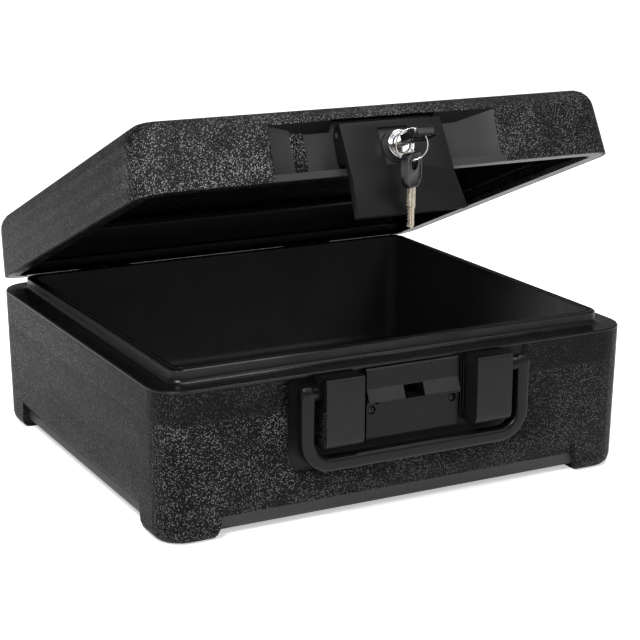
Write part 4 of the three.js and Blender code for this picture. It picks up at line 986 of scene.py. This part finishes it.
@dataclass
class Handle:
    """The bail handle on its two pins. Sizes in millimetres."""

    arm: float = 88.7
    wide: float = 10.4
    near: float = -172.8
    far: float = -183.6
    round: float = 3.1
    low: float = 42.0
    corner: float = 24.0
    steps: int = 14
    pivot: tuple[float, float] = (-178.2, 99.5)
    # Each arm's rounded top: its rise, its steps, and how much it narrows
    crown: float = 6.2
    crown_steps: int = 5
    crown_lean: float = 0.72
    boss: float = 5.0
    block_side: float = 77.0
    pin: float = 3.0
    pin_head: float = 4.0
    head_sink: float = 1.4
    pin_start: float = 65.8
    pin_proud: float = 0.3
    play: float = 0.3

    def build(self) -> None:
        """Makes the bail and its pins."""
        self.bail()
        for side, way in SIDES:
            self.pivot_pin(side, way)

    def bail(self) -> None:
        """Draws a rounded section down one arm, round the corner, along the bar and up the other arm."""
        middle = (self.near + self.far) / 2
        deep = self.near - self.far
        Bench.clear()
        top = self.pivot[1]
        bpy.ops.mesh.primitive_plane_add(size=1, location=self.spot(-self.arm, middle, top))
        bpy.context.object.scale = (self.wide * MM, deep * MM, 1)
        piece = Bench.take("bail_moulding")
        Bench.edit(piece, Pick.VERT)
        bpy.ops.mesh.bevel(offset=self.round * MM, segments=5, affect="VERTICES")
        outer = self.arm + self.wide / 2
        hub = outer - self.corner
        floor = self.low + self.corner
        Bench.pull(z=floor - top)
        # Round one corner and along the bar, then round the other corner and up the arm
        for way in (-1, 1):
            centre = self.spot(way * hub, middle, floor)
            bpy.ops.mesh.spin(steps=self.steps, angle=math.radians(90), center=centre, axis=(0, 1, 0))
            Bench.pull(x=2 * hub if way < 0 else 0, z=0 if way < 0 else top - floor)
        Bench.close_up()
        for way in (-1, 1):
            self.arm_top(piece, way, middle)
        long, chamfer = self.arm - self.block_side, self.boss - 0.5
        section = [(0, 0), (chamfer, 0), (self.boss, 0.5), (self.boss, long), (0, long)]
        bosses = [Bench.move(Bench.turned("boss", section, 36), self.on_pivot(way * self.block_side, way))
                  for way in (-1, 1)]
        for boss in bosses:
            Bench.cut(piece, boss, "UNION")
        for way in (-1, 1):
            Bench.cut(piece, self.bore(way))
        Bench.move(piece, PLACE.base())
        Bench.dress(piece, SATIN_HANDLE, Body.HANDLE, "smooth_resin", ["handle_bail"], 50)

    def spot(self, x: float, y: float, z: float) -> Point:
        """A place in metres from millimetres."""
        return (x * MM, y * MM, z * MM)

    def on_pivot(self, x: float, way: int) -> Matrix:
        """A place on the pivots' line, looking outwards."""
        return shift(x, *self.pivot) @ turn(90 * way, "Y")

    def arm_top(self, piece: Piece, way: int, middle: float) -> None:
        """Raises an arm's end over the pivot in rounded steps."""
        top = self.pivot[1] * MM
        step = 90 / self.crown_steps
        for number in range(1, self.crown_steps + 1):
            share, last = math.radians(step * number), math.radians(step * number) - math.radians(step)
            grown, before = (math.sin(angle) * self.crown * MM for angle in (share, last))
            now, then = (math.cos(angle * self.crown_lean) for angle in (share, last))
            Bench.edit(piece, Pick.FACE, lambda at, n: n.z > ALONG and at.x * way > 0 and at.z > top + before - 1e-5)
            bpy.ops.mesh.extrude_region_move(TRANSFORM_OT_translate={"value": (0, 0, grown - before)})
            centre = (way * self.arm * MM, middle * MM, top + grown)
            bpy.ops.transform.resize(value=(0.5 + 0.5 * now / then, now / then, 1), center_override=centre)
        bpy.ops.object.mode_set(mode="OBJECT")

    def bore(self, way: int) -> Piece:
        """The stepped hole for a pin, drawn from the block's side outwards."""
        start, end = self.block_side - 1, self.arm + self.wide / 2
        seat = end - self.head_sink
        thin, wide = self.pin + self.play, self.pin_head + self.play
        section = [(0, 0), (thin, 0), (thin, seat - start), (wide, seat - start), (wide, end - start + 2),
                   (0, end - start + 2)]
        return Bench.move(Bench.turned("bore", section, 32), self.on_pivot(way * start, way))

    def pivot_pin(self, side: str, way: int) -> None:
        """A pin with a low domed head, flush in the arm."""
        deep = self.arm + self.wide / 2 + self.pin_proud - self.head_sink - self.pin_start
        head, pin = self.pin_head, self.pin
        section = [(0, 0), (pin - 0.6, 0), (pin, 0.6), (pin, deep), (head, deep), (head, deep + 0.7),
                   (head - 0.5, deep + 1.2), (head * 0.5, deep + 1.4), (0, deep + 1.4)]
        piece = Bench.turned(f"{side}_handle_pin_headed", section, 40)
        Bench.move(piece, PLACE.base() @ self.on_pivot(way * self.pin_start, way))
        Bench.dress(piece, SATIN_HANDLE, Body.BASE, "plated_steel", [f"{side}_handle_pin"])


@dataclass
class Latch:
    """The flap with its lock, cam and hinge pin. Sizes in millimetres; the lock's own Z faces out of its front."""

    face: float = 15.0
    lock_z: float = 129.0
    front: float = -170.0
    rim: float = 10.5
    flange: float = 6.5
    barrel: float = 9.0
    back: float = 22.0
    bore: float = 6.3
    flap_edge: float = 0.45
    side: float = 42.5
    # The lock's pocket: half width and heights; how deep its floor begins, and the boss round the lock
    pocket: Point = (12.2, 115.5, 144.0)
    pocket_deep: float = 1.2
    boss: float = 14.0
    # The flap's front: its lowest height and how far it leans back for each millimetre above that
    leaning_front: tuple[float, float] = (79.8, 0.153)

    def place(self) -> Matrix:
        """The lock's face in the part's frame."""
        return PLACE.lid() @ shift(0, self.front - self.face, self.lock_z) @ turn(90, "X")

    def build(self) -> None:
        """Makes the flap and the lock."""
        self.flap()
        self.housing()
        Bench.dress(Bench.refit("lock_plug", "lock_core"), CHROME, Body.PLUG, "lock_chrome", ["lock_plug"])
        for node, body in (("lock_nut", Body.FLAP), ("lock_cam", Body.PLUG), ("cam_screw", Body.PLUG),
                           ("flap_hinge_pin", Body.LID)):
            Bench.dress(Bench.refit(node, f"{node}_plated"), ZINC, body, "plated_steel", [node])

    def flap(self) -> None:
        """The flap, its edges softened and the floor of the lock's pocket painted a lighter satin, as painted light."""
        piece = Bench.refit("latch_flap", "flap_moulding")
        Bench.round_edges(piece, self.flap_edge, 40)
        Bench.spread(piece, (SATIN_FLAP, SATIN_RECESS_PAINTED_LIGHT, PAINTED_EDGE_HIGHLIGHT), PLACE.lid(), self.flap_finish)
        Bench.dress(piece, SATIN_FLAP, Body.FLAP, "smooth_resin", ["latch_flap"])

    def flap_finish(self, place: Point, normal: Vector) -> Finish:
        """Which finish a face of the flap has.

        Args:
            place: The face's middle in the shut lid's frame.
            normal: The way it faces.

        Returns:
            Satin painted paler on the pocket's floor and the boss, a painted highlight line on the side edges, and dull
            satin elsewhere.
        """
        x, y, z = place
        half, low, high = self.pocket
        bottom, lean = self.leaning_front
        depth = y - (self.front - self.face + (z - bottom) * lean)
        boss = math.hypot(x, z - self.lock_z) < self.boss and abs(depth) > 0.3
        # Painted light: the pocket's floor and the boss round the lock get the paler recess satin
        if boss or (abs(x) < half and low < z < high and depth > self.pocket_deep and normal.y < -0.5):
            return SATIN_RECESS_PAINTED_LIGHT
        # A painted highlight line along the flap's side edges
        return PAINTED_EDGE_HIGHLIGHT if abs(x) > self.side and normal.y < -0.2 and abs(normal.x) > 0.15 else SATIN_FLAP

    def housing(self) -> None:
        """The lock's case: a barrel under a flange with two polished rims and a dark groove between them."""
        rim, bore = self.rim, self.bore
        groove = (rim + bore) / 2
        section = [(bore, -self.back), (self.barrel - 0.5, -self.back), (self.barrel, -self.back + 0.5),
                   (self.barrel, -self.flange), (rim - 0.3, -self.flange), (rim, -self.flange + 0.3), (rim, -1.0),
                   (rim - 0.15, -0.45), (rim - 0.5, -0.1), (rim - 0.95, 0), (rim - 1.35, -0.15),
                   (rim - 1.6, -0.6), (rim - 1.65, -1.1), (groove + 0.35, -1.1), (groove + 0.3, -0.6),
                   (groove, -0.2), (groove - 0.5, 0), (bore + 0.9, -0.15), (bore + 0.35, -0.6), (bore, -1.2)]
        piece = Bench.turned("lock_case", section, 64)
        Bench.move(piece, self.place())
        Bench.dress(piece, CHROME, Body.FLAP, "lock_chrome", ["lock_housing"], 60)


@dataclass
class Keys:
    """The key in the lock, the split ring and the spare key. Sizes in millimetres."""

    stand_off: float = 11.0
    head: float = 24.0
    thickness: float = 5.2
    hole: float = 7.2
    rise: float = 0.9
    aside: float = 6.6
    radius: float = 10.9
    wire: float = 0.85
    ring_turn: float = -26.0
    spare_turn: float = 55.0
    spare_drop: float = 2.1
    # The blade's length; its grooves' distance from the middle, half width and depth from the middle plane
    blade: float = 29.0
    groove: Point = (0.7, 0.75, 0.55)
    # The sunk panel on a head: its border, its slope's width and its depth
    panel: Point = (1.3, 0.3, 0.45)
    # The ring's turns, the share of them that the wire runs, and its steps
    ring_turns: int = 2
    ring_share: float = 0.985
    ring_steps: int = 150

    def key_place(self) -> Matrix:
        """The key's shoulder in the part's frame."""
        latch = Latch()
        return PLACE.lid() @ shift(0, latch.front - latch.face - self.stand_off, latch.lock_z)

    def ring_place(self) -> Matrix:
        """The ring's highest inside point, upright."""
        hole = shift(-self.aside, -self.head + self.hole, self.thickness / 2 + self.rise)
        return self.key_place() @ hole @ turn(PLACE.angle, "X") @ turn(self.ring_turn, "Z")

    def spare_place(self) -> Matrix:
        """The spare key's shoulder, hanging from the ring's lowest point."""
        hang = shift(0, 0, -2 * self.radius + self.wire)
        drop = shift(0, 0, -self.spare_drop - self.head + self.hole)
        return self.ring_place() @ hang @ turn(self.spare_turn, "Z") @ drop @ turn(-90, "X")

    def build(self) -> None:
        """Makes the two keys and the ring."""
        head, blade = self.key_head(), self.key_blade()
        to_spare = self.spare_place() @ self.key_place().inverted()
        twins = [Bench.twin(piece, f"spare_{piece.name}", to_spare) for piece in (head, blade)]
        for prefix, body, pieces in (("", Body.KEY, (head, blade)), ("spare_", Body.SPARE_KEY, twins)):
            Bench.dress(pieces[0], KEY_RESIN, body, "key_plastic", [f"{prefix}key_head"])
            Bench.dress(pieces[1], NICKEL, body, "key_nickel", [f"{prefix}key_blade"])
        self.split_ring()

    def key_head(self) -> Piece:
        """The moulded head, with a sunk panel inside a raised border on both faces."""
        piece = Bench.refit("key_head", "key_head_moulded")
        up = (self.key_place().to_3x3() @ Vector((0, 0, 1))).normalized()
        border, slope, deep = self.panel
        for way in (-1, 1):
            Bench.edit(piece, Pick.FACE, lambda at, n: n.dot(up) * way > 0.99)
            bpy.ops.mesh.inset(thickness=border * MM, depth=0)
            bpy.ops.mesh.inset(thickness=slope * MM, depth=-deep * MM)
        bpy.ops.object.mode_set(mode="OBJECT")
        Bench.round_edges(piece, 0.3, 50)
        return piece

    def key_blade(self) -> Piece:
        """The milled blade, with a groove along each face."""
        piece = Bench.refit("key_blade", "key_blade_milled")
        aside, half, deep = self.groove
        for way in (1, -1):
            low = (way * aside - half, 1.0, min(way * deep, way * 2.0))
            high = (way * aside + half, self.blade - 2.5, max(way * deep, way * 2.0))
            tool = Bench.block("groove", low, high)
            Bench.edit(tool, Pick.FACE, lambda at, n: n.z * way < -ALONG)
            bpy.ops.transform.resize(value=(0.6, 1, 1))
            Bench.cut(piece, Bench.move(tool, self.key_place()))
        return piece

    def split_ring(self) -> None:
        """Two turns of spring wire drawn as a tight helix, their ends closed."""
        Bench.clear()
        bpy.ops.mesh.primitive_circle_add(vertices=12, radius=self.wire / 2 * MM, fill_type="NGON",
                                          location=(self.radius * MM, 0, 0), rotation=(math.radians(90), 0, 0))
        piece = Bench.take("split_ring")
        rise = self.wire * self.ring_turns
        steps, angle = self.ring_steps, math.tau * self.ring_turns * self.ring_share
        Bench.apply(piece, "SCREW", angle=angle, screw_offset=rise * MM, steps=steps, render_steps=steps,
                    use_merge_vertices=True, merge_threshold=1e-6, use_smooth_shade=True)
        Bench.edit(piece, Pick.EDGE)
        bpy.ops.mesh.fill_holes(sides=0)
        Bench.close_up()
        centre = shift(0, 0, -self.radius + self.wire)
        Bench.move(piece, self.ring_place() @ centre @ turn(90, "X") @ shift(0, 0, -rise / 2))
        Bench.dress(piece, SPRING_WIRE, Body.RING, "key_nickel", ["key_ring"], 60)


@dataclass(frozen=True)
class SoftBox:
    """One soft studio light, aimed at the chest. Angles in degrees, distance and size in metres, power in watts."""

    name: str
    azimuth: float
    elevation: float
    distance: float
    size: float
    power: float

    def build(self, target: Vector) -> None:
        """Adds the light on its stand."""
        a, e = math.radians(self.azimuth), math.radians(self.elevation)
        back = Vector((math.sin(a) * math.cos(e), -math.cos(a) * math.cos(e), math.sin(e)))
        data = bpy.data.lights.new(self.name, "AREA")
        data.shape = "SQUARE"
        data.size = self.size
        data.energy = self.power
        light = bpy.data.objects.new(self.name, data)
        bpy.context.scene.collection.objects.link(light)
        light.location = target + back * self.distance
        light.rotation_mode = "QUATERNION"
        light.rotation_quaternion = back.to_track_quat("Z", "Y")


@dataclass
class Studio:
    """Floor, lights, white surroundings and the camera at the photograph's view.

    The camera's place is in millimetres along its own right, up and back directions from the tub's middle.
    """

    azimuth: float = -27.96
    elevation: float = 15.17
    roll: float = 0.25
    right: float = 15.0
    up: float = 95.7
    distance: float = 1446.2
    lens_pixels: float = 1786.1
    frame_pixels: float = 640.0
    sensor: float = 36.0
    world_fill: float = 0.34
    world_gloss: float = 0.2
    # The floor's paint and its mottle; how far it is lifted to white, and from which to which distance in metres
    floor_tone: tuple[float, float] = (0.9, 0.94)
    mottle: float = 1000 / 30
    floor_lift: tuple[float, float] = (0.5, 0.74)
    lift_between: tuple[float, float] = (0.35, 1.6)
    lights: tuple[SoftBox, ...] = (
        SoftBox("key_softbox", -46, 46, 2.1, 0.8, 40),
        SoftBox("front_softbox", 30, 35, 2.6, 1.2, 9),
        SoftBox("top_softbox", 70, 74, 2.2, 1.0, 22),
    )

    def build(self) -> None:
        """Adds everything round the object."""
        self.camera()
        self.world()
        self.floor()
        low, high = CAD_BOX
        for light in self.lights:
            light.build((low + high) / 2)

    def camera(self) -> None:
        """Sets the camera where the fit to the photograph's edges puts it."""
        a, e, r = (math.radians(v) for v in (self.azimuth, self.elevation, self.roll))
        back = Vector((math.sin(a) * math.cos(e), -math.cos(a) * math.cos(e), math.sin(e)))
        level = Vector((math.cos(a), math.sin(a), 0))
        above = back.cross(level)
        right = level * math.cos(r) + above * math.sin(r)
        up = above * math.cos(r) - level * math.sin(r)
        eye = (right * self.right + up * self.up + back * self.distance) * MM
        data = bpy.data.cameras.new("photo_view")
        data.sensor_width = self.sensor
        data.lens = self.lens_pixels / self.frame_pixels * self.sensor
        data.clip_start, data.clip_end = 0.05, 60
        camera = bpy.data.objects.new("photo_view", data)
        bpy.context.scene.collection.objects.link(camera)
        facing = Matrix((right, up, back)).transposed().to_4x4()
        camera.matrix_world = PLACE.base() @ Matrix.Translation(eye) @ facing
        bpy.context.scene.camera = camera

    def world(self) -> None:
        """White to the camera, and a soft grey room as light and in reflections."""
        world = bpy.data.worlds.new("white_room")
        bpy.context.scene.world = world
        world.use_nodes = True
        nodes = Pattern(world.node_tree)
        rays = nodes.add("ShaderNodeLightPath")
        seen = nodes.maths("MAXIMUM", rays["Is Camera Ray"], rays["Is Transmission Ray"])
        room = nodes.ramp(rays["Is Glossy Ray"], 0.0, 1.0, self.world_fill, self.world_gloss)
        sky = nodes.add("ShaderNodeBackground", {"Color": WHITE, "Strength": nodes.ramp(seen, 0.0, 1.0, room)})
        nodes.add("ShaderNodeOutputWorld", {"Surface": sky[0]})

    def floor(self) -> None:
        """A white matt floor that keeps the chest's shadow."""
        Bench.clear()
        bpy.ops.mesh.primitive_plane_add(size=24)
        floor = Bench.take("studio_floor")
        paint = bpy.data.materials.new("white_matt_paint")
        paint.use_nodes = True
        nodes = Pattern(paint.node_tree)
        tone = nodes.ramp(nodes.noise(self.mottle, 3.0), 0.0, 1.0, *self.floor_tone)
        matt = nodes.add("ShaderNodeBsdfDiffuse", {"Color": tone})[0]
        away = nodes.add("ShaderNodeVectorMath", {0: nodes.place}, operation="LENGTH")["Value"]
        seen = nodes.add("ShaderNodeLightPath")["Is Camera Ray"]
        lift = nodes.maths("MULTIPLY", seen, nodes.ramp(away, *self.lift_between, *self.floor_lift))
        glow = nodes.add("ShaderNodeEmission", {"Color": WHITE, "Strength": lift})[0]
        both = nodes.add("ShaderNodeAddShader", {0: matt, 1: glow})[0]
        nodes.add("ShaderNodeOutputMaterial", {"Surface": both})
        floor.data.materials.append(paint)


def main() -> None:
    """Builds the chest's looks from its sub-assemblies, in order."""
    logging.basicConfig(level=logging.INFO, format="%(name)s: %(message)s")
    bpy.context.scene.view_settings.view_transform = "Standard"
    screws = CrossScrew()
    for part in (Studio(), Chest(), Lid(), Hinges(screws), Handle(), Latch(), Keys()):
        part.build()
    Bench.clear()
    screws.put_away()


if __name__ == "__main__":
    main()
